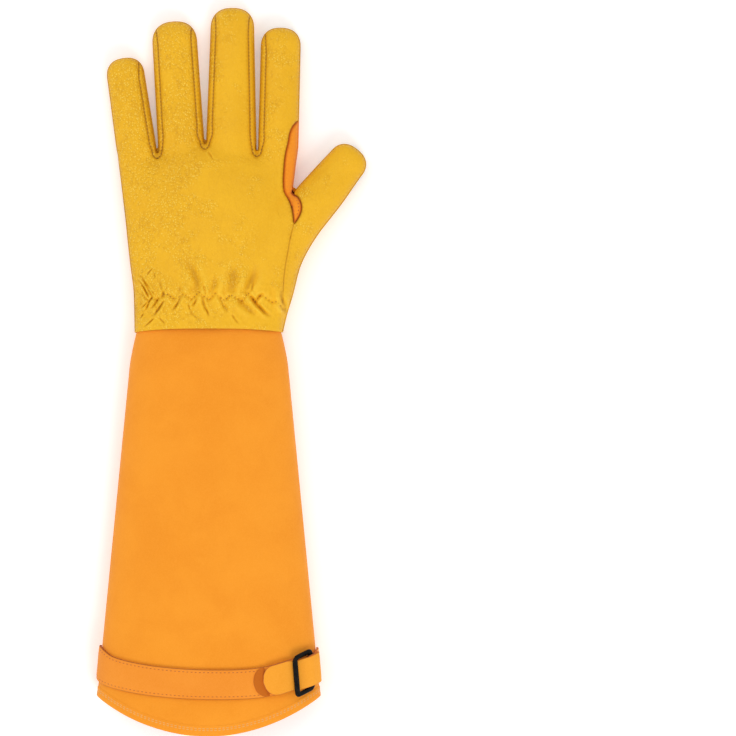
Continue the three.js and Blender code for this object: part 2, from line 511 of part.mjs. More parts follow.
// Point on the cuff: angle round it (degrees), distance below the wrist seam, height over the skin
function cuffPoint(angle, down, height) {
  const { half, low, high } = cuffSection(down);
  const zs = mix(low, high, SEAM_SHARE);
  const a = (angle * Math.PI) / 180, c = Math.cos(a), s = Math.sin(a);
  if (s >= 0) {
    const up = high - zs;
    const n = Math.hypot(c / half, s / up);
    return [half * c + (height * c) / half / n, -down, zs + up * s + (height * s) / up / n];
  }
  const drop = zs - low, k = 2 / FLATNESS;
  const cc = Math.abs(c) ** k, ss = Math.min(1, FLAT_RATE * (-s) ** k);
  const nx = cc ** (FLATNESS - 1) / half, nz = ss ** (FLATNESS - 1) / drop;
  const n = Math.hypot(nx, nz);
  return [Math.sign(c) * (half * cc + (height * nx) / n), -down, zs - drop * ss - (height * nz) / n];
}
function cuffPanel(from, to, cols) {
  const shares = [0, 0.035, 0.06, 0.095, 0.3, 0.6, 0.85, 1];
  const grid = (height) => shares.map((v) => {
    const row = [];
    for (let i = 0; i <= cols; i += 1) {
      const angle = mix(from, to, i / cols);
      const u = Math.abs(cuffPoint(angle, CORNER, 0)[0]) / (HEM_WIDTH / 2);
      const end = CUFF_LENGTH - HEM_SAG * u ** HEM_POWER;
      row.push(cuffPoint(angle, mix(-TUCK, end, v), height));
    }
    return row;
  });
  return sheet(grid(0), grid(-CANVAS));
}
const SIDE_GAP = 0.35, SIDE_GAP_UNDER = 0.004;    // degrees kept free at each side seam
add('cuff_back', cuffPanel(SIDE_GAP, 180 - SIDE_GAP, 20), CUFF_CANVAS());
add('cuff_palm', cuffPanel(-SIDE_GAP_UNDER, -180 + SIDE_GAP_UNDER, 18), CUFF_CANVAS());

// Strap: arc length round the cuff at the strap, so that its pieces keep their width
const STRAP_LEVEL = 0.86 * CUFF_LENGTH;
const ARC = [];
{
  let length = 0, last = cuffPoint(-8, STRAP_LEVEL, 0);
  for (let angle = -8; angle <= 190; angle += 1) {
    const p = cuffPoint(angle, STRAP_LEVEL, 0);
    length += Math.hypot(p[0] - last[0], p[2] - last[2]);
    ARC.push({ angle, arc: length });
    last = p;
  }
}
function strapPoint(angle, across, height) {
  const down = (a) => table(STRAP_LINE, 'angle', 'along', a) * CUFF_LENGTH;
  const arc = (a) => table(ARC, 'angle', 'arc', a);
  const slope = (down(angle + 3) - down(angle - 3)) / (arc(angle + 3) - arc(angle - 3));
  const l = Math.hypot(1, slope);
  const at = arc(angle) + (across * slope) / l;
  return cuffPoint(table(ARC, 'arc', 'angle', at), down(angle) - across / l, height);
}
// Cross-section of a strap: at(across, height) puts a point into space
const ACROSS = [1, 0.34, -0.34, -1];
function strapRing(at, width = 1) {
  const w = (STRAP_WIDTH / 2) * width, h = STRAP_WALL / 2;
  return [...ACROSS.map((u) => at(u * w, h)), ...ACROSS.map((u) => at(-u * w, -h))];
}
const onCuff = (angle, height, width) => strapRing((w, h) => strapPoint(angle, w, height + h), width);
const ON_CUFF = 2 * GAP + STRAP_WALL / 2;                     // centre of a strap that lies on the cuff
const NEAR_BAR = ON_CUFF + STRAP_WALL / 2 + GAP + BUCKLE_WALL / 2;
const ON_BAND = ON_CUFF + STRAP_WALL + GAP;                   // centre of the tail over the band
const FAR_BAR = ON_BAND + STRAP_WALL / 2 + GAP + BUCKLE_WALL / 2 + 0.25;

// Buckle frame in space: from the near bar (thumb side) to the far bar
const nearBar = vec(strapPoint(BAR_ANGLES.near, 0, NEAR_BAR)), farBar = vec(strapPoint(BAR_ANGLES.far, 0, FAR_BAR));
const span = farBar.clone().sub(nearBar);
const along = span.clone().normalize();
const wide = vec(strapPoint((BAR_ANGLES.near + BAR_ANGLES.far) / 2, 8, 4))
  .sub(vec(strapPoint((BAR_ANGLES.near + BAR_ANGLES.far) / 2, -8, 4)));
wide.addScaledVector(along, -wide.dot(along)).normalize();
const out = new THREE.Vector3().crossVectors(wide, along);
if (out.z < 0) out.negate();
const place = (a, w, h) => nearBar.clone().addScaledVector(along, a).addScaledVector(wide, w).addScaledVector(out, h).toArray();
function buckle() {
  const halfW = STRAP_WIDTH / 2 + 0.7 + BUCKLE_BAR * 0.4;
  const corner = 2.4, rings = [];
  const centres = [[span.length() - corner, halfW - corner, 0], [corner, halfW - corner, 90],
    [corner, -halfW + corner, 180], [span.length() - corner, -halfW + corner, 270]];
  for (const [a, w, turn] of centres) {
    for (const step of [0, 45, 90]) {
      const t = ((turn + step) * Math.PI) / 180;
      const na = Math.cos(t), nw = Math.sin(t);
      const bar = BUCKLE_BAR / 2 * (0.8 + 0.2 * Math.abs(na)), wall = BUCKLE_WALL / 2;
      const profile = [[bar, -wall * 0.5], [bar, wall * 0.5], [bar * 0.75, wall], [-bar * 0.75, wall],
        [-bar, wall * 0.5], [-bar, -wall * 0.5], [-bar * 0.75, -wall], [bar * 0.75, -wall]];
      rings.push(profile.map(([r, h]) => place(a + na * (corner + r), w + nw * (corner + r), h)));
    }
  }
  return hoop(rings);
}
add('buckle', buckle(), BLACK_METAL());

// Strap cross-section at a point of a path in the buckle's own plane, square to the path
function onBuckle(path, i) {
  const p = path[Math.max(0, i - 1)], q = path[Math.min(path.length - 1, i + 1)];
  const l = Math.hypot(q[0] - p[0], q[1] - p[1]);
  const na = (q[1] - p[1]) / l, nh = -(q[0] - p[0]) / l;
  return strapRing((w, h) => place(path[i][0] + na * h, w, path[i][1] + nh * h));
}
const FOLD_REACH = BUCKLE_BAR / 2 + GAP + STRAP_WALL / 2 + 0.2;    // half axes of the fold's centre line
const FOLD_RISE = BUCKLE_WALL / 2 + GAP + STRAP_WALL / 2;

// Band: lies on the cuff from the left side seam, passes under the buckle and folds round its near bar
function band() {
  const rings = [182, 178, 173, 167, 159, 149, 136, 121, 105, 88, 71, 57, 46, 37, 29]
    .map((angle) => onCuff(angle, ON_CUFF));
  const fold = [0, 30, 60, 90, 120, 150, 180].map((turn) => {
    const s = Math.sin((turn * Math.PI) / 180), c = -Math.cos((turn * Math.PI) / 180);
    return [-FOLD_REACH * Math.abs(s) ** 0.7, FOLD_RISE * Math.sign(c) * Math.abs(c) ** 0.7];
  });
  fold.push([BUCKLE_BAR / 2 + 1.2, FOLD_RISE]);
  // seen along the fold the strap turns over, so the cuff side of the path is its outside
  fold.forEach((p, i) => rings.push(onBuckle(fold, i)));
  return loft(rings);
}
add('strap_band', band(), ORANGE_LEATHER());

// Tail: from the thumb side seam over the fold and the near bar, under the far bar, to a round tip
function tail() {
  const rings = [[-2, 0], [2, 0.1]].map(([angle, rise]) => onCuff(angle, ON_CUFF + rise));
  const r = FOLD_REACH + STRAP_WALL + 2 * GAP, h = FOLD_RISE + STRAP_WALL + 2 * GAP;
  const reach = span.length(), drop = BUCKLE_WALL / 2 + GAP + STRAP_WALL / 2;
  const path = [[-9.3, -3.1], [-r - 1.5, -1.9], [-r - 0.3, -0.6], [-r, 0.8], [-r * 0.86, h * 0.66], [-r * 0.55, h * 0.95],
    [0, h], [r * 0.42, h], [r * 0.72, h * 0.86], [reach * 0.52, 1.6], [reach * 0.66, -0.4], [reach * 0.82, -drop * 0.86],
    [reach, -drop]];
  path.forEach((p, i) => { if (i > 0 && i < path.length - 1) rings.push(onBuckle(path, i).reverse()); });
  for (const angle of [43, 47, TAIL_TIP_ANGLE - 9]) rings.push(onCuff(angle, ON_BAND));
  for (const [back, width] of [[5, 0.93], [2.2, 0.74], [0.7, 0.5], [0, 0.2]]) {
    rings.push(onCuff(TAIL_TIP_ANGLE - back, ON_BAND, width));
  }
  return loft(rings);
}
add('strap_tail', tail(), ORANGE_LEATHER());

// Meshes: every piece keeps its own node, the origin goes under the middle of the glove
const group = new THREE.Group();
group.name = 'rose_pruning_gauntlet';
const boxAll = new THREE.Box3();
for (const piece of pieces) {
  const mesh = largest(piece.body).getMesh();
  const count = mesh.vertProperties.length / mesh.numProp;
  const positions = new Float32Array(count * 3);
  for (let i = 0; i < count; i += 1) {
    for (let k = 0; k < 3; k += 1) positions[3 * i + k] = mesh.vertProperties[i * mesh.numProp + k];
  }
  const geometry = new THREE.BufferGeometry();
  geometry.setAttribute('position', new THREE.BufferAttribute(positions, 3));
  geometry.setIndex(new THREE.BufferAttribute(new Uint32Array(mesh.triVerts), 1));
  geometry.computeBoundingBox();
  boxAll.union(geometry.boundingBox);
  piece.geometry = geometry;
}
const middle = boxAll.getCenter(new THREE.Vector3());
for (const piece of pieces) {
  piece.geometry.translate(-middle.x, -middle.y, -boxAll.min.z);
  piece.geometry.computeVertexNormals();
  const node = new THREE.Mesh(piece.geometry, piece.material);
  node.name = piece.name;
  group.add(node);
}

export default group;
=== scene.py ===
"""Rose pruning gauntlet: the looks of a long left-hand garden glove, built round its CAD model.

All shapes are worked out in the glove's own millimetres: x runs to the thumb, y from the wrist seam to
the fingertips and z up from the floor. They go into the frame in metres by ORIGIN.
"""

import json
import math

import bpy
import numpy as np
from mathutils.geometry import delaunay_2d_cdt
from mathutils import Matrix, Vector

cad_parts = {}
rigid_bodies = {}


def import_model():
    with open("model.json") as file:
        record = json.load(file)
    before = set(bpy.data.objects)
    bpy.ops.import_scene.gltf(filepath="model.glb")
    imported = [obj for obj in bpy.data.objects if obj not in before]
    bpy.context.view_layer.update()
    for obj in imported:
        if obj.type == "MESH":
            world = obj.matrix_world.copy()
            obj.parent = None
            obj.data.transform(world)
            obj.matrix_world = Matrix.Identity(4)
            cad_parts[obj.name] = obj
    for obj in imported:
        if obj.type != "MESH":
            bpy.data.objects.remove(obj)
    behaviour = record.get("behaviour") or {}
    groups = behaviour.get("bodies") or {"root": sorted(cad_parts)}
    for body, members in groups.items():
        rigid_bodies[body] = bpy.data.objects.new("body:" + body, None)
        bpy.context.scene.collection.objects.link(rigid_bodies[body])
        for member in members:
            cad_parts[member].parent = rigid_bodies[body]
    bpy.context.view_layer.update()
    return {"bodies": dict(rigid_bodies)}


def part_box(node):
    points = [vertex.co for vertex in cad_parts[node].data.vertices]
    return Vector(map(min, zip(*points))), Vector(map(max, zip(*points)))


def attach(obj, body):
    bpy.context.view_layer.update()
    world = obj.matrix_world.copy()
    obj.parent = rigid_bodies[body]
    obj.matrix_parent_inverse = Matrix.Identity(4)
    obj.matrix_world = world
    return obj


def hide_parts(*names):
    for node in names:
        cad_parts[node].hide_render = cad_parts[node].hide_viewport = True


bl_info = {
    "name": "Rose pruning gauntlet",
    "version": (1, 0, 0),
    "blender": (4, 5, 0),
    "location": "3D View > Sidebar > Gauntlet",
    "description": "Builds a long leather garden glove with a canvas cuff",
    "category": "Add Mesh",
}

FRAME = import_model()
BODY = next(iter(FRAME["bodies"]))


def frame_origin():
    """The glove's own zero in the frame, in metres: the cuff's middle across and the hand's wrist edge."""
    low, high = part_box("cuff_palm")
    return np.array([(low.x + high.x) / 2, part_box("back_panel")[0].y, 0.0])


ORIGIN = frame_origin()

# Palm: along is a share of the hand length, left and right of the hand width, thick of the hand thickness
PALM_ROWS = np.array([
    (0.000, -0.412, 0.405, 1.00), (0.064, -0.414, 0.419, 0.99), (0.121, -0.418, 0.430, 0.98),
    (0.205, -0.437, 0.446, 0.98), (0.270, -0.450, 0.452, 0.97), (0.340, -0.463, 0.455, 0.95),
    (0.410, -0.478, 0.460, 0.90), (0.470, -0.492, 0.473, 0.79), (0.515, -0.503, 0.483, 0.66),
    (0.545, -0.510, 0.491, 0.54),
])
# Fingers from the little finger: root across, root along, root half width, tip across, tip along,
# tip half width, where the end cap begins
FINGERS = np.array([
    (-0.4025, 0.555, 0.1112, -0.4630, 0.7830, 0.1050, 0.684),
    (-0.1550, 0.570, 0.1298, -0.1916, 0.8850, 0.1245, 0.793),
    (0.1223, 0.570, 0.1408, 0.1280, 0.9285, 0.1215, 0.840),
    (0.3825, 0.555, 0.1122, 0.3966, 0.8730, 0.1110, 0.846),
])
FINGER_NAMES = ("pinky", "ring", "middle", "index")
# Bottoms of the slits between the fingers: across, along
CROTCHES = np.array([(-0.288, 0.549), (-0.022, 0.577), (0.2664, 0.555)])
# Thumb: across, along, half width (share of the hand width), thick (share of the hand thickness)
THUMB_ROWS = np.array([
    (0.278, -0.090, 0.114, 0.70), (0.300, 0.022, 0.1165, 0.72), (0.347, 0.123, 0.122, 0.77),
    (0.390, 0.231, 0.133, 0.80), (0.498, 0.336, 0.131, 0.76), (0.576, 0.389, 0.127, 0.71),
    (0.637, 0.4294, 0.1235, 0.65), (0.7156, 0.484, 0.115, 0.58), (0.758, 0.5127, 0.110, 0.55),
])
# Outlines in plan, as shares of the hand width and the hand length
WEB_BACK = [(0.56, 0.672), (0.505, 0.648), (0.470, 0.6275), (0.453, 0.6065), (0.4445, 0.580), (0.432, 0.552),
            (0.4227, 0.5215), (0.4185, 0.488), (0.4168, 0.455), (0.422, 0.427), (0.442, 0.4056),
            (0.457, 0.3846), (0.466, 0.360), (0.474, 0.3265)]
WEB_TAB = [(0.474, 0.3265), (0.4933, 0.342), (0.506, 0.356), (0.5126, 0.3705), (0.5126, 0.3822),
           (0.5034, 0.3986), (0.489, 0.4103), (0.4697, 0.4164)]
WEB_SLIT = [(0.4697, 0.4164), (0.4655, 0.4225), (0.469, 0.433), (0.478, 0.452)]
WEB_PALM = [(0.56, 0.672), (0.505, 0.680), (0.470, 0.668), (0.441, 0.620), (0.420, 0.555), (0.402, 0.478),
            (0.394, 0.430), (0.417, 0.410), (0.459, 0.410), (0.502, 0.432), (0.545, 0.465), (0.590, 0.512),
            (0.60, 0.56), (0.60, 0.672)]
THUMB_BACK = [(0.474, 0.331), (0.457, 0.290), (0.442, 0.243), (0.430, 0.2056), (0.421, 0.168),
              (0.4155, 0.120), (0.411, 0.060), (0.408, 0.006), (0.405, -0.05)]
THUMB_PALM = [(0.84, 0.460), (0.790, 0.437), (0.606, 0.353), (0.500, 0.271), (0.401, 0.191), (0.323, 0.100),
              (0.275, 0.009), (0.270, -0.05), (1.2, -0.05), (1.2, 0.460)]
PALM_PATCH = [(-0.407, 0.554), (-0.452, 0.532), (-0.460, 0.497), (-0.455, 0.453), (-0.423, 0.430),
              (-0.279, 0.436), (-0.135, 0.443), (-0.084, 0.424), (-0.100, 0.399), (-0.177, 0.392),
              (-0.332, 0.375), (-0.412, 0.362), (-0.432, 0.335), (-0.425, 0.266), (-0.412, 0.193),
              (-0.390, 0.129), (-0.349, 0.092), (-0.274, 0.080), (-0.200, 0.092), (-0.124, 0.143),
              (-0.058, 0.212), (0.017, 0.291), (0.098, 0.355), (0.207, 0.404), (0.304, 0.453),
              (0.366, 0.485), (0.385, 0.515), (0.354, 0.537), (0.297, 0.532), (0.250, 0.537),
              (0.215, 0.564), (0.165, 0.579), (0.126, 0.569), (0.089, 0.532), (0.050, 0.512),
              (0.002, 0.497), (-0.044, 0.512), (-0.083, 0.547), (-0.133, 0.566), (-0.177, 0.554),
              (-0.223, 0.522), (-0.272, 0.507), (-0.318, 0.517), (-0.362, 0.544)]
HEEL_PATCH = [(0.311, 0.392), (0.377, 0.370), (0.388, 0.330), (0.358, 0.271), (0.298, 0.193), (0.211, 0.114),
              (0.142, 0.077), (0.086, 0.070), (0.022, 0.080), (-0.009, 0.114), (0.001, 0.168), (0.040, 0.232),
              (0.104, 0.311), (0.175, 0.365), (0.244, 0.387)]
THUMB_TIP_LINE = [(0.598, 0.524), (0.790, 0.437)]
# Strap: angle round the cuff in degrees, share of the cuff length below the wrist
STRAP_LINE = np.array([(-4, 0.822), (10, 0.829), (24, 0.838), (39, 0.848), (57, 0.865), (90, 0.872),
                       (114, 0.866), (138, 0.853), (160, 0.837), (172, 0.825), (184, 0.815)])
SEAM_SHARE = 0.45      # height of the widest line, as a share of the thickness
TIP_POWER = 2.4        # roundness of the fingertips in plan: 2 is a circle, more is squarer
UNDER = 0.3            # gap between the palm's skin and the patches under it, in millimetres
CLEAR = 0.3            # gap between the strap and the buckle's bars
BAR_HALF = 1.0         # half the height of the buckle's bars
# Stitches: pitch, share of the pitch under thread, radius of the thread and its bow, in millimetres
FORK_STITCH = (2.3, 0.55, 0.20, 0.12)
SHIRR_STITCH = (2.4, 0.50, 0.30, 0.12)
WEB_STITCH = (2.2, 0.62, 0.26, 0.12)
PATCH_STITCH = (2.4, 0.55, 0.27, 0.15)
TIP_STITCH = (2.4, 0.70, 0.25, 0.15)
HEM_STITCH = (2.6, 0.70, 0.33, 0.18)
STRAP_STITCH = (2.7, 0.50, 0.24, 0.10)
# How tightly the seams of one side are drawn, which also sets the weight of their painted shade: three forks,
# the web, the thumb
DRAWN = (1, 1, 1, 1.7, 0.8)
PATCH_ROWS = (1.9, 4.2)    # the two stitch rows of a patch, from its outline
HEM_ROWS = (4.0, 5.2)      # the two stitch rows of the hem, from its edge
CAP_ROW, TOUCH_ROW, STRAP_ROW = 1.8, 2.4, 1.9    # the stitch rows of caps, touch tips and the strap
EDGE_ROWS, SEAM_ROWS = (0.06, 0.22, 0.5, 0.95, 1.6, 2.5), (0.35, 0.8, 1.5, 2.3)    # rows of points
THUMB_FORK = 95.0      # where the palm's edge turns off into the thumb
PALM_END = 118.0       # where the palm's own form ends beside the slits
SLIT_ROUND = 2.6       # height of the rounded bottom of a slit between two fingers
ROOT_REACH = 26.0      # how far the form of a finger runs back into the palm
WRIST_TUCK = 9.0             # length of the cuff inside the hand
# Where the sections of the strap lie: angles round the cuff in degrees
BAND_AT = (182, 179, 175, 170, 164, 156, 147, 136, 124, 111, 98, 85, 73, 62, 53, 44, 37, 31)
TAIL_AT = (43, 46, 49, 52)
# The sheet beyond the tail's tip is a painted shadow of the raised tail.
SHADOW_SHEET_AT = (47, 50, 54, 57.5)
# Studio, in metres and watts: name, place, size and power of each light
LIGHTS = (("key", (0.55, -1.3, 1.6), 0.8, 12.5), ("fill", (-1.3, 0.5, 1.5), 1.4, 4.5),
          ("top", (-0.3, 0.6, 2.2), 1.2, 5.5))
LENS, SENSOR, VIEW_WIDTH, VIEW_MIDDLE = 200, 36, 0.4858, (0.09015, 0.00134)
# The scalloped elastic stitching across the back, its notches and the folds round it, in millimetres on a
# hand 119 wide and 214 long. A fold is its depth, its half width and x, y from the stitching outward.
SHIRR = [(-37.0, 20.5), (-33.5, 19.8), (-27.6, 23.8), (-21.5, 19.8), (-16.0, 23.5), (-10.5, 19.8), (-5.9, 24.8),
         (0.8, 19.3), (4.9, 23.9), (10.9, 19.2), (14.9, 23.0), (22.1, 18.9), (26.3, 24.0), (30.9, 18.2),
         (35.1, 22.9), (42.0, 18.0), (45.5, 18.6), (48.6, 14.5)]
NOTCHES = [-40, -33.5, -21.5, -10.5, 0.8, 10.9, 22.1, 30.9, 42.0, 50]
FOLDS = [
    (1.0, 0.8, -18.2, 21.0, -20.5, 16.4, -24.4, 11.2), (1.0, 0.8, -7.6, 20.4, -8.4, 18.2, -10.8, 14.4),
    (0.4, 0.8, -10.8, 14.0, -10.6, 10.5, -8.0, 8.2, -3.4, 2.6),
    (0.8, 0.9, -3.4, 22.5, -3.0, 17.9, -1.7, 14.1, 0.0, 10.7, 0.2, 6.8),
    (0.8, 1.1, 7.6, 21.2, 9.9, 16.6, 12.6, 12.6, 14.5, 10.4),
    (1.0, 0.7, -28.9, 19.2, -31.6, 14.9, -34.9, 10.7, -39.0, 7.6),
    (0.7, 0.6, -35.8, 7.5, -39.1, 4.8, -43.6, 2.0),
    (0.8, 0.6, -33.0, 20.2, -34.9, 17.0, -36.6, 14.9, -39.6, 12.4),
    (1.0, 0.6, -36.4, 22.0, -39.1, 17.9, -40.8, 14.1, -44.0, 11.6),
    (0.8, 0.5, -39.6, 18.8, -42.9, 15.3, -45.2, 13.6), (0.6, 0.5, -42.8, 10.6, -45.4, 7.4),
    (1.0, 0.6, -36.6, 21.6, -38.7, 25.4, -42.9, 33.0, -46.9, 38.4),
    (0.9, 0.6, -39.1, 21.6, -41.3, 25.9, -44.2, 30.5, -47.8, 35.0),
    (0.8, 0.5, -39.1, 18.8, -42.1, 22.5, -45.8, 28.4),
    (0.8, 0.5, -35.4, 23.2, -37.0, 25.4, -39.6, 29.2, -42.8, 34.0),
    (0.7, 0.5, -40.8, 19.2, -42.9, 22.1, -46.0, 25.8),
    (0.6, 0.9, -29.0, 21.2, -29.9, 25.4, -31.2, 29.2, -31.6, 34.5),
    (0.5, 0.7, -30.0, 23.0, -28.2, 25.9, -26.3, 29.8), (0.5, 0.5, -40.3, 36.0, -38.7, 38.1, -35.2, 41.6),
    (0.4, 0.5, -34.7, 34.2, -35.9, 38.6),
    (1.5, 2.6, -8.6, 23.5, -6.9, 30.0, -8.8, 36.0, -11.4, 42.3, -16.0, 49.6),
    (1.0, 2.0, 2.4, 22.8, 4.4, 29.0, 5.1, 37.0),
    (1.5, 3.2, 14.6, 23.6, 16.0, 29.2, 17.0, 36.8, 21.8, 44.6),
    (1.6, 2.6, 24.0, 22.8, 25.6, 26.7, 28.2, 31.8, 30.3, 36.8, 32.0, 44.6),
    (0.6, 0.7, 28.6, 25.6, 29.8, 31.8), (0.8, 0.9, 31.2, 19.2, 33.9, 22.5, 37.2, 24.4),
    (1.2, 1.3, 51.0, 12.0, 49.4, 17.0, 47.8, 22.5, 48.8, 28.5), (0.8, 1.6, -18.0, 24.0, -18.8, 29.5),
    (0.8, 0.8, -1.2, 22.8, -1.9, 26.2, -4.5, 31.6),
    (1.7, 1.1, 28.2, 22.0, 30.9, 17.9, 34.3, 14.3, 38.1, 10.7, 44.0, 8.2),
    (1.1, 1.8, 19.3, 20.2, 22.9, 17.0, 26.3, 13.7, 29.6, 10.7, 31.8, 6.4),
    (0.6, 0.8, 32.4, 19.7, 35.4, 16.2), (0.5, 0.7, 15.8, 9.8, 18.3, 5.7, 21.5, 2.4),
    (0.8, 0.9, 46.2, 16.6, 49.0, 13.2, 51.6, 10.8), (0.4, 0.6, -0.8, 13.4, 0.8, 8.0),
    (0.5, 0.6, -32.0, 7.8, -27.8, 3.2), (0.5, 0.6, -12.8, 16.6, -11.2, 11.2),
    (0.6, 0.6, -1.6, 119.0, 0.8, 115.4, 4.2, 109.8),
]


def size(name, what, value):
    """A length in metres."""
    return bpy.props.FloatProperty(name=name, description=what, default=value, unit="LENGTH")


def colour(name, what, value):
    """A linear colour with a colour swatch."""
    return bpy.props.FloatVectorProperty(name=name, description=what, default=value, subtype="COLOR", size=3,
                                         min=0.0, max=1.0)


class GauntletHand(bpy.types.PropertyGroup):
    """Sizes of the leather hand"""

    length: size("Hand length", "Wrist seam to the middle fingertip", 0.214)
    width: size("Hand width", "Across the palm below the finger roots", 0.119)
    thickness: size("Hand thickness", "Height of the palm as it lies", 0.034)
    finger: size("Finger thickness", "Height of a finger at its root", 0.020)
    leather: size("Leather", "Wall of the hand", 0.0012)
    patch: size("Patch", "Thickness of patches and fingertip caps", 0.0015)
    gathers: size("Gathers", "Height of the folds at the elastic line", 0.0023)
    grid: size("Mesh step", "Distance between mesh points on the leather", 0.0010)


class GauntletCuff(bpy.types.PropertyGroup):
    """Sizes of the canvas cuff, its strap and buckle"""

    length: size("Cuff length", "Wrist seam to the lowest hem point", 0.266)
    wrist: size("Wrist width", "Across the wrist seam", 0.100)
    hem: size("Hem width", "Across the two corners of the hem", 0.147)
    thickness: size("Cuff thickness", "Height of the cuff at the hem", 0.042)
    canvas: size("Canvas", "Wall of the cuff", 0.0012)
    strap: size("Strap width", "Width of the strap", 0.0195)
    strap_wall: size("Strap wall", "Thickness of the strap", 0.0016)
    bar: size("Buckle bar", "Width of the buckle's bars", 0.0040)


class GauntletColours(bpy.types.PropertyGroup):
    """Colours of the leather, canvas and thread"""

    back: colour("Back leather", "Smooth yellow leather of the back and the thumb", (0.87, 0.463, 0.0105))
    palm: colour("Palm leather", "Grained yellow leather of the palm", (0.79, 0.412, 0.012))
    orange: colour("Orange leather", "Patches, caps and the web", (0.95, 0.300, 0.013))
    canvas: colour("Cuff canvas", "Brushed cloth of the cuff", (0.92, 0.309, 0.016))
    strap: colour("Strap", "Soft orange strap", (0.88, 0.281, 0.022))
    black: colour("Touch tips", "Coated black fingertips", (0.014, 0.016, 0.018))
    metal: colour("Buckle", "Black painted metal", (0.004, 0.0035, 0.003))
    seam: colour("Seam thread", "Thread of the leather seams", (0.42, 0.17, 0.008))
    hem: colour("Hem thread", "Light thread at the hem", (1.0, 0.46, 0.10))
    stitch: colour("Patch thread", "Orange thread of the patches", (0.50, 0.10, 0.008))
    white: colour("White thread", "Thread across the touch tips", (0.75, 0.74, 0.70))


# Small numeric helpers

def curve(at, stations, values):
    """Smooth curve through values at the stations: cubic pieces with the neighbours' mean slope at each."""
    stations, values = np.asarray(stations, float), np.asarray(values, float)
    slope = np.gradient(values, stations)
    i = np.clip(np.searchsorted(stations, at) - 1, 0, len(stations) - 2)
    h = stations[i + 1] - stations[i]
    t = np.clip((at - stations[i]) / h, 0, 1)
    return ((2 * t ** 3 - 3 * t ** 2 + 1) * values[i] + (t ** 3 - 2 * t ** 2 + t) * h * slope[i]
            + (3 * t ** 2 - 2 * t ** 3) * values[i + 1] + (t ** 3 - t ** 2) * h * slope[i + 1])


def bell(x):
    """1 at 0, falling off smoothly to 0 beyond 2."""
    return np.exp(-np.square(x))


def step(x, low, high):
    """0 below low, 1 above high, smooth between."""
    t = np.clip((x - low) / (high - low), 0, 1)
    return t * t * (3 - 2 * t)


def ripple(x, y, size, seed):
    """Gentle unevenness between -1 and 1: five sine waves in different directions, size apart in mm."""
    turns = seed + np.arange(5) * 2.399
    total = 0
    for k, a in enumerate(turns):
        w = 2 * np.pi / (size * (1 + 0.23 * k))
        total = total + np.sin((x * np.cos(a) + y * np.sin(a)) * w + 5.1 * a)
    return total / 3.2


def run_length(points):
    """Distance along a line of points, from 0 at its first."""
    return np.concatenate([[0], np.cumsum(np.linalg.norm(np.diff(points, axis=0), axis=1))])


def across_of(d):
    """The plan direction square to d, to its right."""
    return np.array([d[1], -d[0]])


def at_place(line, where):
    """Rows of a line at real indices, and the whole index below each."""
    i = np.clip(where, 0, len(line) - 1.001)
    low = i.astype(int)
    return line[low] + (line[low + 1] - line[low]) * (i - low)[:, None], low


def staggered(across, along, spacing):
    """Even field of plan points, every other row moved by half the spacing."""
    x, y = np.meshgrid(across, along)
    x = x + (np.arange(len(along)) % 2)[:, None] * spacing / 2
    return np.column_stack([x.ravel(), y.ravel()])


def resample(points, spacing, closed=False):
    """Points on the polyline at even distances, near spacing apart."""
    points = np.asarray(points, float)
    if closed:
        points = np.vstack([points, points[:1]])
    at = run_length(points[:, :2])
    count = max(2, int(round(at[-1] / spacing)))
    want = np.linspace(0, at[-1], count + 1)
    made = np.column_stack([np.interp(want, at, points[:, k]) for k in range(points.shape[1])])
    return made[:-1] if closed else made


def spline(corners, spacing, closed=False):
    """Smooth line through the corners (cubic in arc length), sampled near spacing apart."""
    corners = np.asarray(corners, float)
    if closed:
        corners = np.vstack([corners[-3:], corners, corners[:3]])
    at = run_length(corners)
    first, last = (at[3], at[-3]) if closed else (0, at[-1])
    want = np.linspace(first, last, max(3, int(round((last - first) / spacing))) + 1)
    made = np.column_stack([curve(want, at, corners[:, k]) for k in range(corners.shape[1])])
    return made[:-1] if closed else made


def normals_of(line, closed=False):
    """Unit vectors to the left of a plan line."""
    if closed:
        d = np.roll(line, -1, 0) - np.roll(line, 1, 0)
    else:
        d = np.gradient(line, axis=0)
    d = d[:, :2] / np.maximum(np.linalg.norm(d[:, :2], axis=1, keepdims=True), 1e-9)
    return np.column_stack([-d[:, 1], d[:, 0]])


def nearest(points, line):
    """Distance to the closest segment of a polyline, and the segment's place as a real index.

    On a long line only the segments round the five nearest of every tenth point are measured.
    """
    start, ab = line[:-1, :2], np.diff(line[:, :2], axis=0)
    size = np.maximum((ab ** 2).sum(1), 1e-12)
    count = len(start)
    best, where = np.full(len(points), 1e9), np.zeros(len(points))
    coarse = start[::10] if count > 160 else None
    reach = np.arange(-10, 11)
    for first in range(0, len(points), 4000):
        p = points[first:first + 4000, :2]
        if coarse is None:
            near = np.broadcast_to(np.arange(count), (len(p), count))
        else:
            rough = ((p[:, None] - coarse[None]) ** 2).sum(2)
            five = np.argpartition(rough, 4, axis=1)[:, :5]
            near = np.clip(five[:, :, None] * 10 + reach, 0, count - 1).reshape(len(p), -1)
        gap, ray = p[:, None] - start[near], ab[near]
        t = np.clip((gap * ray).sum(2) / size[near], 0, 1)
        gap = gap - t[..., None] * ray
        d = (gap ** 2).sum(2)
        i, rows = d.argmin(1), np.arange(len(p))
        best[first:first + 4000] = np.sqrt(d[rows, i])
        where[first:first + 4000] = near[rows, i] + t[rows, i]
    return best, where


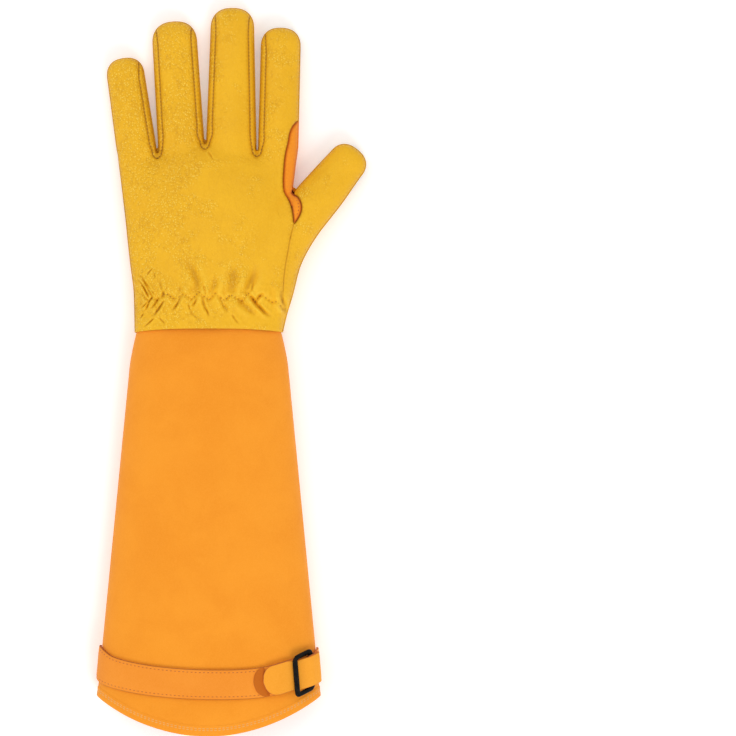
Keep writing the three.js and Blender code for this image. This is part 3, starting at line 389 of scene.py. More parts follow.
def inside(points, polygon):
    """True for points inside a closed polygon, by crossings of a ray along +x."""
    x, y = points[:, 0], points[:, 1]
    found = np.zeros(len(points), bool)
    polygon = np.asarray(polygon)
    for (ax, ay), (bx, by) in zip(polygon, np.roll(polygon, -1, 0)):
        if ay == by:
            continue
        crosses = (ay > y) != (by > y)
        found ^= crosses & (x < (bx - ax) * (y - ay) / (by - ay) + ax)
    return found


# Meshes

def make_object(name, points, faces, material, node=None, sharp=50.0, painted_shading=None):
    """A smooth mesh object of the frame from points in the glove's millimetres.

    The painted shading, where given, is an attribute of the points: painted shade from 0 on open leather to 1
    inside a seam or a fold, and below 0 a painted highlight on a ridge.
    """
    mesh = bpy.data.meshes.new(name)
    mesh.from_pydata(np.asarray(points) / 1000 + ORIGIN, [], np.asarray(faces))
    if painted_shading is not None:
        mesh.attributes.new("painted_shading", "FLOAT", "POINT").data.foreach_set("value", painted_shading.astype(np.float32))
    mesh.validate()
    mesh.shade_smooth()
    mesh.set_sharp_from_angle(angle=math.radians(sharp))
    made = bpy.data.objects.new(name, mesh)
    bpy.context.scene.collection.objects.link(made)
    mesh.materials.append(material)
    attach(made, BODY)
    if node:
        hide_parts(*node)
    return made


def vertex_normals(points, faces):
    """Normals of the vertices, each face counted by its area."""
    a, b, c = (points[faces[:, k]] for k in range(3))
    n = np.cross(b - a, c - a)
    total = np.zeros_like(points)
    for k in range(3):
        np.add.at(total, faces[:, k], n)
    return total / np.maximum(np.linalg.norm(total, axis=1, keepdims=True), 1e-12)


def solid_between(outer, inner, faces):
    """Closed solid: the outer skin, the inner skin with its faces turned, and a band along their edges."""
    n = len(outer)
    sides = np.vstack([faces[:, [0, 1]], faces[:, [1, 2]], faces[:, [2, 0]]]).astype(np.int64)
    free = sides[~np.isin(sides[:, 0] * n + sides[:, 1], sides[:, 1] * n + sides[:, 0])]
    band = np.vstack([np.column_stack([free[:, 1], free[:, 0], free[:, 0] + n]),
                      np.column_stack([free[:, 1], free[:, 0] + n, free[:, 1] + n])])
    return np.vstack([outer, inner]), np.vstack([faces, faces[:, ::-1] + n, band])


def thicken(points, faces, wall):
    """Closed solid from a skin and the same skin moved in by wall."""
    return solid_between(points, points - vertex_normals(points, faces) * wall, faces)


def triangulate(points, sides, outline):
    """Triangles over plan points that keep the given sides and lie inside the outline, and their middles."""
    verts, _, faces = delaunay_2d_cdt(points.tolist(), sides.tolist(), [], 0, 1e-6, False)[:3]
    points = np.array([tuple(v) for v in verts])
    faces = np.array([f for f in faces if len(f) == 3])
    a, b, c = (points[faces[:, k]] for k in range(3))
    area = (b[:, 0] - a[:, 0]) * (c[:, 1] - a[:, 1]) - (b[:, 1] - a[:, 1]) * (c[:, 0] - a[:, 0])
    faces[area < 0] = faces[area < 0][:, ::-1]
    middle = (a + b + c) / 3
    keep = inside(middle, outline) & (np.abs(area) > 1e-7)
    return points, faces[keep], middle[keep]


def grid_faces(rows, columns, wrap=False):
    """Triangles of a grid of points, row by row; wrap joins the last column to the first."""
    r, c = np.meshgrid(np.arange(rows - 1), np.arange(columns if wrap else columns - 1), indexing="ij")
    r, c = r.ravel(), c.ravel()
    d = (c + 1) % columns
    a, b, e, f = r * columns + c, r * columns + d, (r + 1) * columns + d, (r + 1) * columns + c
    return np.vstack([np.column_stack([a, b, e]), np.column_stack([a, e, f])])


def capped_tube(rings):
    """Closed mesh over a row of rings (rows, around, 3), each end closed to its middle."""
    rows, around = rings.shape[:2]
    points = np.vstack([rings.reshape(-1, 3), rings[0].mean(0), rings[-1].mean(0)])
    faces = grid_faces(rows, around, True)
    i = np.arange(around)
    j = (i + 1) % around
    start, end, last = rows * around, rows * around + 1, (rows - 1) * around
    ends = np.vstack([np.column_stack([np.full(around, start), j, i]),
                      np.column_stack([np.full(around, end), last + i, last + j])])
    return points, np.vstack([faces, ends])


def outward(points, faces):
    """The faces turned so that the closed mesh has a positive volume."""
    a, b, c = (points[faces[:, k]] for k in range(3))
    return faces if (a * np.cross(b, c)).sum() > 0 else faces[:, ::-1]


def threads(path, up, pitch, share, radius, bulge):
    """Stitches along a path: capsules of share times pitch, bowed up by bulge, their ends sunk in.

    A point is A(s) + T*(t-1/2)*length + N*(r(t)*cos a + bulge*sin(pi*t) - sink) + B*r(t)*sin a.
    """
    at = run_length(path)
    count = max(1, int(at[-1] // pitch))
    middle = (np.arange(count) + 0.5) * at[-1] / count

    def on(values, where):
        return np.column_stack([np.interp(where, at, values[:, k]) for k in range(3)])
    half = share * at[-1] / count / 2
    a, b, n = on(path, middle - half), on(path, middle + half), on(up, middle)
    tangent = b - a
    size = np.linalg.norm(tangent, axis=1, keepdims=True)
    tangent = tangent / np.maximum(size, 1e-9)
    n = n - (n * tangent).sum(1, keepdims=True) * tangent
    n /= np.maximum(np.linalg.norm(n, axis=1, keepdims=True), 1e-9)
    side = np.cross(tangent, n)
    t = np.array([0.0, 0.06, 0.2, 0.5, 0.8, 0.94, 1.0])
    r = radius * np.array([0.05, 0.62, 1, 1.05, 1, 0.62, 0.05])
    turn = np.arange(6) * math.pi / 3
    lift = bulge * np.sin(math.pi * t) - radius * 0.55
    rings = (a[:, None, None] + (b - a)[:, None, None] * t[None, :, None, None]
             + n[:, None, None] * (lift[:, None] + r[:, None] * np.cos(turn))[None, :, :, None]
             + side[:, None, None] * (r[:, None] * np.sin(turn))[None, :, :, None])
    one = outward(*capped_tube(rings[0]))
    block = rings.reshape(count, -1, 3)
    ends = np.stack([rings[:, 0].mean(1), rings[:, -1].mean(1)], 1)
    block = np.concatenate([block, ends], 1)
    faces = one[None] + (np.arange(count) * block.shape[1])[:, None, None]
    return block.reshape(-1, 3), faces.reshape(-1, 3)


def join(parts):
    """Several (points, faces) as one."""
    points, faces, n = [], [], 0
    for p, f in parts:
        points.append(p)
        faces.append(f + n)
        n += len(p)
    return np.vstack(points), np.vstack(faces)


# The hand as two height fields over the plan

class Hand:
    """Outline and heights of the lying hand, in millimetres, from its sizes."""

    def __init__(self, sizes):
        self.length, self.width = sizes.length * 1000, sizes.width * 1000
        self.thick, self.finger = sizes.thickness * 1000, sizes.finger * 1000
        self.patch, self.leather = sizes.patch * 1000, sizes.leather * 1000
        self.lift = self.patch + UNDER
        self.pleat = sizes.gathers * 1000
        self.grid = sizes.grid * 1000
        self.scale = np.array([self.width, self.length])
        self.unit = self.scale / (119, 214)
        self.shirr = resample(np.array(SHIRR) * self.unit, 0.5)
        self.fingers = FINGERS * np.array([self.width, self.length, self.width] * 2 + [self.length])
        self.crotches = CROTCHES * self.scale
        rows = THUMB_ROWS * np.array([self.width, self.length, self.width, self.thick])
        at = run_length(rows[:, :2])
        s = np.linspace(0, at[-1], 260)
        self.thumb = np.column_stack([curve(s, at, rows[:, k]) for k in range(4)])
        self.thumb_tip = 0.105 * self.width
        self.edge = self.outline()
        self.closed = np.vstack([self.edge[:, :2], self.edge[:1, :2]])

    def plan(self, corners):
        return np.asarray(corners) * self.scale

    def finger_thick(self, y):
        return self.finger * curve(y / self.length, [0.5, 0.60, 0.75, 0.90, 1.02],
                                   [1.02, 1.0, 0.92, 0.84, 0.77])

    def palm_row(self, y):
        """Left edge, right edge and thickness of the palm at y."""
        v = y / self.length
        left, right, thick = (curve(v, PALM_ROWS[:, 0], PALM_ROWS[:, k]) for k in (1, 2, 3))
        return left * self.width, right * self.width, thick * self.thick

    @staticmethod
    def course(f):
        """A finger's direction in plan and its length, from root to tip."""
        size = np.hypot(*(f[3:5] - f[:2]))
        return (f[3:5] - f[:2]) / size, size

    def finger_edge(self, f, side, t):
        """Points on a finger's plan edge; t runs from 0 at the root to 1 at the tip's middle."""
        root, tip = f[:2], f[3:5]
        t = np.asarray(t, float)[:, None]
        half = f[2] + (f[5] - f[2]) * t
        return root + (tip - root) * t + side * half * across_of(self.course(f)[0])

    @staticmethod
    def tip_arc(centre, d, half, reach, count=40):
        """Rounded end from the left edge to the right edge: |across|^TIP_POWER + |along|^TIP_POWER = 1."""
        a = np.linspace(math.pi, 0, count)
        c, s = np.cos(a), np.sin(a)
        across = half * np.sign(c) * np.abs(c) ** (2 / TIP_POWER)
        along = reach * np.abs(s) ** (2 / TIP_POWER)
        return centre + across[:, None] * across_of(d) + along[:, None] * np.array([d])

    def thumb_edges(self, margin):
        """Plan points of the thumb's inner edge, its outer edge and its round end, all moved in by margin."""
        line, n, half = self.thumb[:, :2], normals_of(self.thumb[:, :2]), self.thumb[:, 2:3] - margin
        d = line[-1] - line[-6]
        d /= np.hypot(*d)
        arc = self.tip_arc(line[-1], d, self.thumb[-1, 2] - margin, self.thumb_tip - margin)[1:-1]
        return line + n * half, line - n * half, arc

    def outline(self):
        """Silhouette from the wrist's left corner round fingers and thumb to its right one: x, y, seam z."""
        pieces = []
        y = np.linspace(0, PALM_ROWS[-1, 0] * self.length, 60)
        left, right, thick = self.palm_row(y)
        pieces.append(np.column_stack([left, y, self.lift + SEAM_SHARE * thick]))
        for i, f in enumerate(self.fingers):
            d, run = self.course(f)[0], np.linspace(0.04, 1, 50)
            left_edge, right_edge = self.finger_edge(f, -1, run), self.finger_edge(f, 1, run[::-1])
            if i > 0:
                left_edge = left_edge[left_edge[:, 1] > self.crotches[i - 1][1] + SLIT_ROUND]
            if i < 3:
                right_edge = right_edge[right_edge[:, 1] > self.crotches[i][1] + SLIT_ROUND]
            line = np.vstack([left_edge, self.tip_arc(f[3:5], d, f[5], f[5])[1:-1], right_edge])
            pieces.append(np.column_stack([line, self.lift + SEAM_SHARE * self.finger_thick(line[:, 1])]))
            if i < 3:
                c = self.crotches[i]
                dip = np.array([(-0.45, 1.2), (-0.35, 0.4), (0, 0), (0.35, 0.4), (0.45, 1.2)]) + c
                pieces.append(np.column_stack([dip, np.full(5, self.lift + SEAM_SHARE * self.finger)]))
        y = np.linspace(PALM_ROWS[-1, 0] * self.length - 1.5, THUMB_FORK, 18)
        left, right, thick = self.palm_row(y)
        pieces.append(np.column_stack([right, y, self.lift + SEAM_SHARE * thick]))
        left, right, arc = self.thumb_edges(0)
        seam = self.lift + SEAM_SHARE * self.thumb[:, 3]
        inner, outer = np.column_stack([left, seam]), np.column_stack([right, seam])
        inner = inner[inner[:, 1] > THUMB_FORK - 0.5]
        start, end = pieces[-1][-1], inner[0]
        corner = np.array([start[0] + 0.1, start[1] - 4.6, (start[2] + end[2]) / 2])
        t = np.linspace(0, 1, 12)[1:-1, None]
        pieces += [(1 - t) ** 2 * start + 2 * t * (1 - t) * corner + t ** 2 * end, inner]
        pieces.append(np.column_stack([arc, np.full(len(arc), seam[-1])]))
        pieces.append(outer[::-1][outer[::-1, 1] > 0.3])
        pieces.append([[np.interp(0, outer[:, 1], outer[:, 0]), 0, np.interp(0, outer[:, 1], outer[:, 2])]])
        line = resample(np.vstack(pieces), 0.9)
        pad = np.pad(line[:, 2], 6, mode="edge")
        line[:, 2] = np.convolve(pad, np.ones(13) / 13, "valid")
        return line

    @staticmethod
    def split(x, y, start, d):
        """Distance of plan points past a start along the direction d, and across it to its right."""
        return (x - start[0]) * d[0] + (y - start[1]) * d[1], (x - start[0]) * d[1] - (y - start[1]) * d[0]

    def parts(self, x, y):
        """For palm, fingers and thumb: share across (-1 to 1), thickness and end factor at plan points."""
        crown = np.maximum(0, (y / self.length - 0.40) / 0.145)
        yy = y - np.minimum(crown, 1.3) * 0.026 * self.length * bell((x / self.width + 0.022) / 0.18)
        left, right, thick = self.palm_row(np.clip(yy, 0, None))
        ends = np.concatenate([[(-80, PALM_END)], self.crotches, [(58, PALM_END), (80, PALM_END)]])
        gap = (np.interp(x, ends[:, 0], ends[:, 1]) + 0.3 - y) / 13
        found = [((x - (left + right) / 2) / ((right - left) / 2), thick, np.clip(gap, 0, 1), gap > 0)]
        for f in self.fingers:
            d, size = self.course(f)
            along, across = self.split(x, y, f, d)
            t = along / size
            half = f[2] + (f[5] - f[2]) * np.clip(t, 0, 1)
            tip = np.clip((along - size) / f[5], 0, 0.9999)
            q = (1 - tip ** TIP_POWER) ** (1 / TIP_POWER)
            sink = step(-along, 0, ROOT_REACH)
            found.append((across / (half * q), self.finger_thick(np.maximum(y, f[1])) * (1 - 0.25 * sink), q,
                          (along < size + f[5]) & (along > -ROOT_REACH)))
        where = nearest(np.column_stack([x, y]), self.thumb)[1]
        row, low = at_place(self.thumb, where)
        d = np.gradient(self.thumb[:, :2], axis=0)
        d /= np.linalg.norm(d, axis=1, keepdims=True)
        past, across = self.split(x, y, row.T, d[low].T)
        tip = np.clip(past / self.thumb_tip, 0, 0.9999) * (where > len(self.thumb) - 2)
        q = (1 - tip ** TIP_POWER) ** (1 / TIP_POWER)
        found.append((across / (row[:, 2] * q), row[:, 3], q, past > -3))
        return found

    def heights(self, x, y):
        """Top and bottom of the hand at plan points, meeting in the seam, and the distance to the outline."""
        tops, bottoms = [], []
        for k, (c, thick, end, valid) in enumerate(self.parts(x, y)):
            zs = self.lift + SEAM_SHARE * thick
            ok = valid & (np.abs(c) < 1)
            cc = np.minimum(np.abs(c), 1)
            fade = np.sqrt(1 - (1 - end) ** 2) if k == 0 else end
            tops.append(np.where(ok, zs + (1 - SEAM_SHARE) * thick * np.sqrt(1 - cc ** 2) * fade, -99))
            flat = np.minimum(1, 1.03 * (1 - cc ** 4) ** 0.25)
            fade = (1 - (1 - end) ** 4) ** 0.25 if k == 0 else np.minimum(1, end * 1.25)
            bottoms.append(np.where(ok, zs - SEAM_SHARE * thick * flat * fade, 99))
        soft, sharp = 3.0, 0.5
        top = soft * np.log(np.exp(np.array(tops) / soft).sum(0) + 1e-20)
        bottom = -sharp * np.log(np.exp(-np.array(bottoms) / sharp).sum(0) + 1e-20)
        d, where = nearest(np.column_stack([x, y]), self.edge)
        seam = at_place(self.edge, where)[0][:, 2]
        ease = np.clip(d / 0.5, 0, 1) ** 0.3
        top = seam + np.maximum(top - seam, 0) * ease
        bottom = seam - np.maximum(seam - np.maximum(bottom, self.lift), 0) * ease
        return top, bottom, d

    def folds(self, x, y):
        """Height of the puckers round the elastic stitching at points of the back, and their painted shading:
        painted shade in the hollows and stitch holes, painted highlight on the ridges.

        A fold of depth p and half width w adds p*(0.45*bell((d-2w)/w) - bell(d/w)) at the distance d from its
        line. Between the notches, counted by u, the leather puffs up by |sin(pi*u)|^0.8.
        """
        plan = np.column_stack([x, y])
        height, pucker_shading = np.zeros(len(x)), np.zeros(len(x))
        for depth, width, *line in FOLDS:
            line = spline(np.reshape(line, (-1, 2)) * self.unit, 0.9)
            reach = 4.2 * width + 0.5
            near = np.flatnonzero(((plan > line.min(0) - reach) & (plan < line.max(0) + reach)).all(1))
            if len(near) == 0:
                continue
            d, at = nearest(plan[near], line)
            t = at / (len(line) - 1)
            taper = step(t, -0.05, 0.12) * step(-t, -1.0, -0.45)
            depth *= 1.3
            ridge = bell((d - 2 * width) / width)
            height[near] += depth * taper * (0.45 * ridge - bell(d / width))
            # Painted shade down the fold's hollow, painted highlight on the ridges beside it.
            pucker_shading[near] += taper * min(1, 0.7 * depth / width) * (bell(d / (0.75 * width)) - 0.6 * ridge)
        near = np.flatnonzero(y < 60)
        px, py = x[near], y[near]
        d, at = nearest(plan[near], self.shirr)
        hole = 0.5 + 0.5 * np.cos(2 * np.pi * at * 0.5 / 2.4)
        mask = step(px, -42, -35) * step(-px, -53, -47)
        u = np.interp(px, np.array(NOTCHES) * self.unit[0], np.arange(len(NOTCHES)))
        puff = 0.85 * self.pleat * (np.abs(np.sin(np.pi * u)) ** 0.8 - 0.5) * bell((py - 21) / 8)
        pull = -0.9 * bell(d / 1.3) - 0.4 * hole * bell(d / 0.8)
        crumple = 0.16 * ripple(px, py, 2.7, 3.0) * bell((py - 18) / 17)
        rumple = 0.34 * ripple(px, py * 0.8, 4.0, 1.0) * step(-px, 18, 34) * bell((py - 20) / 20)
        height[near] += mask * (puff + pull + crumple) + rumple
        # Painted shade in the stitch holes of the elastic line and painted highlight beside it; the crumpled
        # leather is painted lighter where it rises and in shade where it sinks.
        pucker_shading[near] += (mask * (0.8 * hole ** 2 * bell(d / 0.6) - 0.25 * bell((d - 2) / 1.2))
                       - 0.5 * rumple - 0.5 * crumple)
        return height, np.clip(pucker_shading, -0.8, 1)

    def skin(self, x, y, top):
        """Height of the leather away from its seams, its painted shading in the folds and the outline's
        distance.
        """
        high, low, rim = self.heights(x, y)
        if not top:
            wave = 0.10 * ripple(x, y, 15, 0.9) * step(rim, 3, 10)
            return low + np.maximum(wave, 0), np.zeros(len(x)), rim
        wave = 0.30 * ripple(x, y, 34, 0.4) + 0.16 * ripple(x, y, 13, 2.0) + 0.05 * ripple(x, y, 5, 1.2)
        fold, pucker_shading = self.folds(x, y)
        z = high + wave * step(rim, 1.5, 9) + fold * step(rim, 0.2, 4) - 0.45 * bell((y - 0.2) / 0.9)
        return z, pucker_shading, rim


class Net:
    """Triangles over the hand's plan with crisp seam lines, for the top or the bottom."""

    def __init__(self, hand, seams, fine):
        g = hand.grid
        edge = hand.edge[:, :2]
        wrist = resample([edge[-1], edge[0]], g)[1:-1]
        lines = [edge] + [resample(s, 0.8) for s in seams]
        tree = np.concatenate([[0], np.cumsum([len(s) for s in lines])])
        extra = []
        for k, line in enumerate(lines):
            n = normals_of(line)
            for d in (SEAM_ROWS if k else EDGE_ROWS):
                for side in ((-1, 1) if k else (-1,)):
                    p = line[1:-1] + n[1:-1] * d * side
                    p = p[::2] if k == 0 and d > 2 else p
                    extra.append(np.column_stack([p, np.full(len(p), d)]))
        extra = np.vstack(extra)
        fields = []
        for size, start, stop in ((g * 0.55, 0.5, fine), (g, max(fine, 0.5), hand.length + 2)):
            rows = np.arange(start, stop, size * 0.866)
            fields.append(staggered(np.arange(-0.6, 1.0, size / hand.width) * hand.width, rows, size))
        field = np.vstack(fields)
        field = field[inside(field, hand.closed)]
        ring = extra[inside(extra[:, :2], hand.closed) & (extra[:, 1] > 0.05)]
        far_f = np.min([
            nearest(field, s)[0] - (SEAM_ROWS if k else EDGE_ROWS)[-1] for k, s in enumerate(lines)], 0)
        far_r = np.min([nearest(ring, s)[0] for s in lines], 0)
        field = field[far_f > g * 0.6]
        ring = ring[far_r > 0.85 * ring[:, 2]][:, :2]
        points = np.vstack(lines + [wrist, ring, field])
        sides = [np.column_stack([np.arange(a, b - 1), np.arange(a + 1, b)])
                 for a, b in zip(tree[:-1], tree[1:])]
        w = np.arange(tree[-1], tree[-1] + len(wrist))
        sides.append(np.column_stack([np.r_[len(edge) - 1, w], np.r_[w, 0]]))
        self.points, self.faces, self.middle = triangulate(points, np.vstack(sides), hand.closed)


def pick(net, mask):
    """The net's faces under a mask, with their own points only."""
    faces = net.faces[mask]
    used, index = np.unique(faces, return_inverse=True)
    return net.points[used], index.reshape(-1, 3)


def weld(points, faces, tolerance=0.004):
    """One point for all points that lie within the tolerance of each other (by their first three values)."""
    key = np.round(points[:, :3] / tolerance).astype(np.int64)
    _, first, index = np.unique(key, axis=0, return_index=True, return_inverse=True)
    faces = index.reshape(-1)[faces]
    ok = (faces[:, 0] != faces[:, 1]) & (faces[:, 1] != faces[:, 2]) & (faces[:, 2] != faces[:, 0])
    return points[first], faces[ok]


def leather_skin(hand, net, mask, seams, top):
    """Points and faces of one side of a panel, on the hand's skin, rolled down at its seams, with a fourth
    column
    of painted shading: painted shade along the outline, in the seams and their stitch dimples, and the folds'
    painted shade and highlight.

    Seam roll at the distance d: k*(-0.75*bell(d/0.55) + 0.22*bell((d-2.2)/1.1)), with dimples every 2.9 mm
    and k for how tightly that seam is drawn. The wrist edge is moved along by 0.8 - 2.4*|x/49|^3.
    """
    plan, faces = pick(net, mask)
    x, y = plan[:, 0], plan[:, 1]
    z, pucker_shading, rim = hand.skin(x, y, top)
    dist, where = nearest(plan, hand.edge[:, :2])
    # black weighs the painted shade of the nearest line: 0.5 along the outline, more in tightly drawn seams.
    along, tight, black = where * 0.9, np.ones(len(x)), np.full(len(x), 0.50)
    ease = 0.3 + 0.7 * step(y, 12, 30)
    for s, pulled in zip(seams, DRAWN):
        d, w = nearest(plan, s)
        closer = d < dist
        dist, along = np.where(closer, d, dist), np.where(closer, w * 0.8, along)
        tight, black = np.where(closer, pulled * ease, tight), np.where(closer, pulled * ease, black)
    dimple = (0.5 + 0.5 * np.cos(2 * np.pi * along / 2.9)) * bell((dist - 1.5) / 0.7)
    roll = tight * (0.22 * bell((dist - 2.2) / 1.1) - 0.75 * bell(dist / 0.55) - 0.16 * dimple)
    bend = (0.8 - 2.4 * np.abs(x / 49) ** 3) * step(-y, -15, 0)
    points = np.column_stack([x, y + bend, z])
    face = faces if top else faces[:, ::-1]
    shift = vertex_normals(points, face) * roll[:, None]
    points = points + np.where((rim < 0.02)[:, None], 0, shift)
    # Painted shade in the seam groove and its stitch dimples, added to the folds' painted shade and highlight.
    seam_and_fold_shading = np.clip(black * bell(dist / (0.42 * tight)) + 0.25 * dimple + pucker_shading, -0.8, 1.4)
    return np.column_stack([points, seam_and_fold_shading]), face


def seam_lines(hand):
    """Plan lines of the seams: fourchette outlines, web and thumb lines, for the back and the palm."""
    forks = []
    inset = 0.030 * hand.width
    for i in range(3):
        c = hand.crotches[i]

        def run(f, side):
            d = hand.course(f)[0]
            across = side * across_of(d)
            line = hand.finger_edge(f, side, [0.07, 0.2, 0.35, 0.5, 0.7, 0.85, 0.95]) - inset * across
            out = [f[3:5] + across * f[5] * a + d * f[5] * b
                   for a, b in ((0.77, 0.25), (0.79, 0.50), (0.86, 0.95))]
            return np.vstack([line, out])
        a, b = run(hand.fingers[i], 1), run(hand.fingers[i + 1], -1)
        low = np.array([(-3.0, 1.0), (-2.2, -2.4), (0, -4.2), (2.2, -2.4), (3.0, 1.0)]) + c
        forks.append(spline(np.vstack([a[::-1], low, b]), 0.8))
    web_back = np.vstack([spline(hand.plan(WEB_BACK), 0.8)[:-1], spline(hand.plan(WEB_TAB), 0.8)[:-1],
                          spline(hand.plan(WEB_SLIT), 0.8)])
    web_palm = spline(hand.plan(WEB_PALM[:12]), 0.8)
    thumb_back = spline(hand.plan(THUMB_BACK), 0.8)
    thumb_palm = spline(hand.plan(THUMB_PALM[:8]), 0.8)
    return forks, web_back, web_palm, thumb_back, thumb_palm


def hand_regions(hand):
    """Nets and masks of every leather panel: name -> list of (net, mask, seams, is top)."""
    forks, web_back, web_palm, thumb_back, thumb_palm = seam_lines(hand)
    far = hand.plan([(0.60, 0.56), (0.60, 0.672)])
    web_b, web_p = np.vstack([web_back, far]), np.vstack([web_palm, far])
    thumb_b = np.vstack([thumb_back, hand.plan([(1.2, -0.05), (1.2, 0.75), (0.56, 0.75), (0.52, 0.50),
                                                (0.480, 0.425), (0.474, 0.38)])])
    thumb_p = np.vstack([thumb_palm, hand.plan([(1.2, -0.05), (1.2, 0.46)])])
    found = {}
    for top, web, thumb, seams in ((True, web_b, thumb_b, forks + [web_back, thumb_back]),
                                   (False, web_p, thumb_p, forks + [web_palm, thumb_palm])):
        net = Net(hand, seams, 54.0 if top else 0.0)
        m = net.middle
        left = np.ones(len(m), bool)
        zones = [(f"fourchette_{a}_{b}", f) for a, b, f in zip(FINGER_NAMES, FINGER_NAMES[1:], forks)]
        zones += [("web_patch", web), ("thumb_panel", thumb)]
        for name, shape in zones:
            mask = left & inside(m, shape)
            left &= ~mask
            found.setdefault(name, []).append((net, mask, seams, top))
        found["back_panel" if top else "palm_panel"] = [(net, left, seams, top)]
    return found


# Materials

class Wire:
    """A socket of the node tree that adds, subtracts and multiplies like a number."""

    def __init__(self, tree, socket):
        self.tree, self.socket = tree, socket

    def math(self, kind, *others):
        node = self.tree.nodes.new("ShaderNodeMath")
        node.operation = kind
        for place, value in zip(node.inputs, others):
            if isinstance(value, Wire):
                self.tree.links.new(value.socket, place)
            else:
                place.default_value = value
        return Wire(self.tree, node.outputs[0])

    def __add__(self, other):
        return self.math("ADD", self, other)

    __radd__ = __add__

    def __mul__(self, other):
        return self.math("MULTIPLY", self, other)

    __rmul__ = __mul__

    def __sub__(self, other):
        return self.math("SUBTRACT", self, other)

    def __rsub__(self, other):
        return self.math("SUBTRACT", other, self)


class Finish:
    """A material under construction, on one Principled shader, patterned in Object coordinates."""

    def __init__(self, name, **constants):
        self.material = bpy.data.materials.new(name)
        self.material.use_nodes = True
        self.tree = self.material.node_tree
        self.shader = self.tree.nodes["Principled BSDF"]
        for socket, value in constants.items():
            self.shader.inputs[socket.replace("_", " ")].default_value = value
        self.place = Wire(self.tree, self.tree.nodes.new("ShaderNodeTexCoord").outputs["Object"])

    def node(self, kind, output=0, settings=None, **sockets):
        """Any node: settings are its properties, sockets its inputs, _ for a space or n6 for number 6."""
        made = self.tree.nodes.new(kind)
        for key, value in (settings or {}).items():
            setattr(made, key, value)
        for key, value in sockets.items():
            name = key.replace("_", " ")
            place = made.inputs[int(name[1:])] if name[1:].isdigit() and name[0] == "n" else made.inputs[name]
            if isinstance(value, Wire):
                self.tree.links.new(value.socket, place)
            else:
                place.default_value = value
        return Wire(self.tree, made.outputs[output])

    def stretched(self, x, y, z, turn=0.0):
        return self.node("ShaderNodeMapping", Vector=self.place, Scale=(x, y, z), Rotation=(0, 0, turn))

    def noise(self, size, detail=3.0, roughness=0.5, at=None, distortion=0.0):
        """Cloudy pattern with features about size metres across, near 0.5 on average."""
        return self.node("ShaderNodeTexNoise", "Fac", Vector=at or self.place, Scale=1 / size, Detail=detail,
                         Roughness=roughness, Distortion=distortion)

    def cells(self, size, at=None):
        """Cell pattern: distance to the cell's middle, in shares of size."""
        return self.node("ShaderNodeTexVoronoi", "Distance", Vector=at or self.place, Scale=1 / size)

    def painted_shading(self, size=1.0):
        """The piece's own attribute of painted shading: painted shade above 0, painted highlight below, 0 where
        a piece has none.
        """
        return self.node("ShaderNodeAttribute", "Fac", {"attribute_name": "painted_shading"}) * size

    def spread(self, value, low, high, to_low=0.0, to_high=1.0):
        return self.node("ShaderNodeMapRange", "Result", {"interpolation_type": "SMOOTHSTEP"}, Value=value,
                         From_Min=low, From_Max=high, To_Min=to_low, To_Max=to_high)

    def mix(self, factor, a, b):
        """Colour a where factor is 0 and b where it is 1."""
        a, b = (end if isinstance(end, Wire) else (*end, 1.0) for end in (a, b))
        return self.node("ShaderNodeMix", 2, {"data_type": "RGBA"}, n0=factor, n6=a, n7=b)

    def bump(self, height, distance, strength=1.0, under=None):
        """Relief of a height pattern, distance metres deep, on top of the relief under it."""
        more = {"Normal": under} if under else {}
        return self.node("ShaderNodeBump", Height=height, Distance=distance, Strength=strength, **more)

    def out(self, **sockets):
        for name, wire in sockets.items():
            self.tree.links.new(wire.socket, self.shader.inputs[name.replace("_", " ")])
        return self.material


def shade(rgb, k, shift=(1.0, 1.0, 1.0)):
    return tuple(min(1.0, c * k * s) for c, s in zip(rgb, shift))


def smooth_leather(rgb):
    """Yellow leather: soft clouds, patches of 1.4 mm pebble with pale spots on its tops as painted highlight,
    most at the little finger, drawn wrinkles, and painted shade and highlight from the mesh.
    """
    f = Finish("smooth_yellow_leather", Roughness=0.5, Specular_IOR_Level=0.22)
    clouds = f.noise(0.030, 4, 0.6)
    side = f.spread(f.node("ShaderNodeSeparateXYZ", "X", Vector=f.place), -0.045, 0.005, 1.0, 0.0)
    patches = f.spread(f.noise(0.020, 3, 0.6, distortion=0.5) + side * 0.20, 0.50, 0.66)
    pebble = f.cells(0.0014)
    pores = f.noise(0.0006, 2, 0.5)
    lines = f.noise(0.0026, 4, 0.6, at=f.stretched(1.0, 0.5, 1.0, 0.4), distortion=1.4)
    tone = f.mix(clouds, shade(rgb, 0.90, (1, 0.95, 0.8)), shade(rgb, 1.08, (1, 1.03, 1.4)))
    # Painted highlight: pale spots on the tops of the pebble cells, as if they caught the light.
    pebble_highlight = f.spread(pebble, 0.42, 0.10) * (0.10 + 0.90 * patches)
    tone = f.mix(pebble_highlight * 0.90, tone, shade(rgb, 1.28, (1, 1.12, 7.0)))
    drawn = f.spread(lines, 0.50, 0.38)
    tone = f.mix(drawn * (0.12 + 0.28 * patches), tone, shade(rgb, 0.76, (1, 0.86, 0.6)))
    # Painted shade in seams and fold hollows, then painted highlight on fold ridges, both from the mesh.
    tone = f.mix(f.painted_shading(0.70), tone, shade(rgb, 0.36, (1, 0.58, 0.3)))
    tone = f.mix(f.painted_shading(-0.55), tone, shade(rgb, 1.2, (1, 1.14, 4.0)))
    grain = f.bump(pebble * (0.25 + 0.75 * patches), 0.00070, 0.8)
    grain = f.bump(lines, 0.00060, 0.5, grain)
    grain = f.bump(pores, 0.00010, 0.5, grain)
    rough = f.spread(clouds, 0.3, 0.7, 0.46, 0.58)
    return f.out(Base_Color=tone, Roughness=rough, Normal=grain)


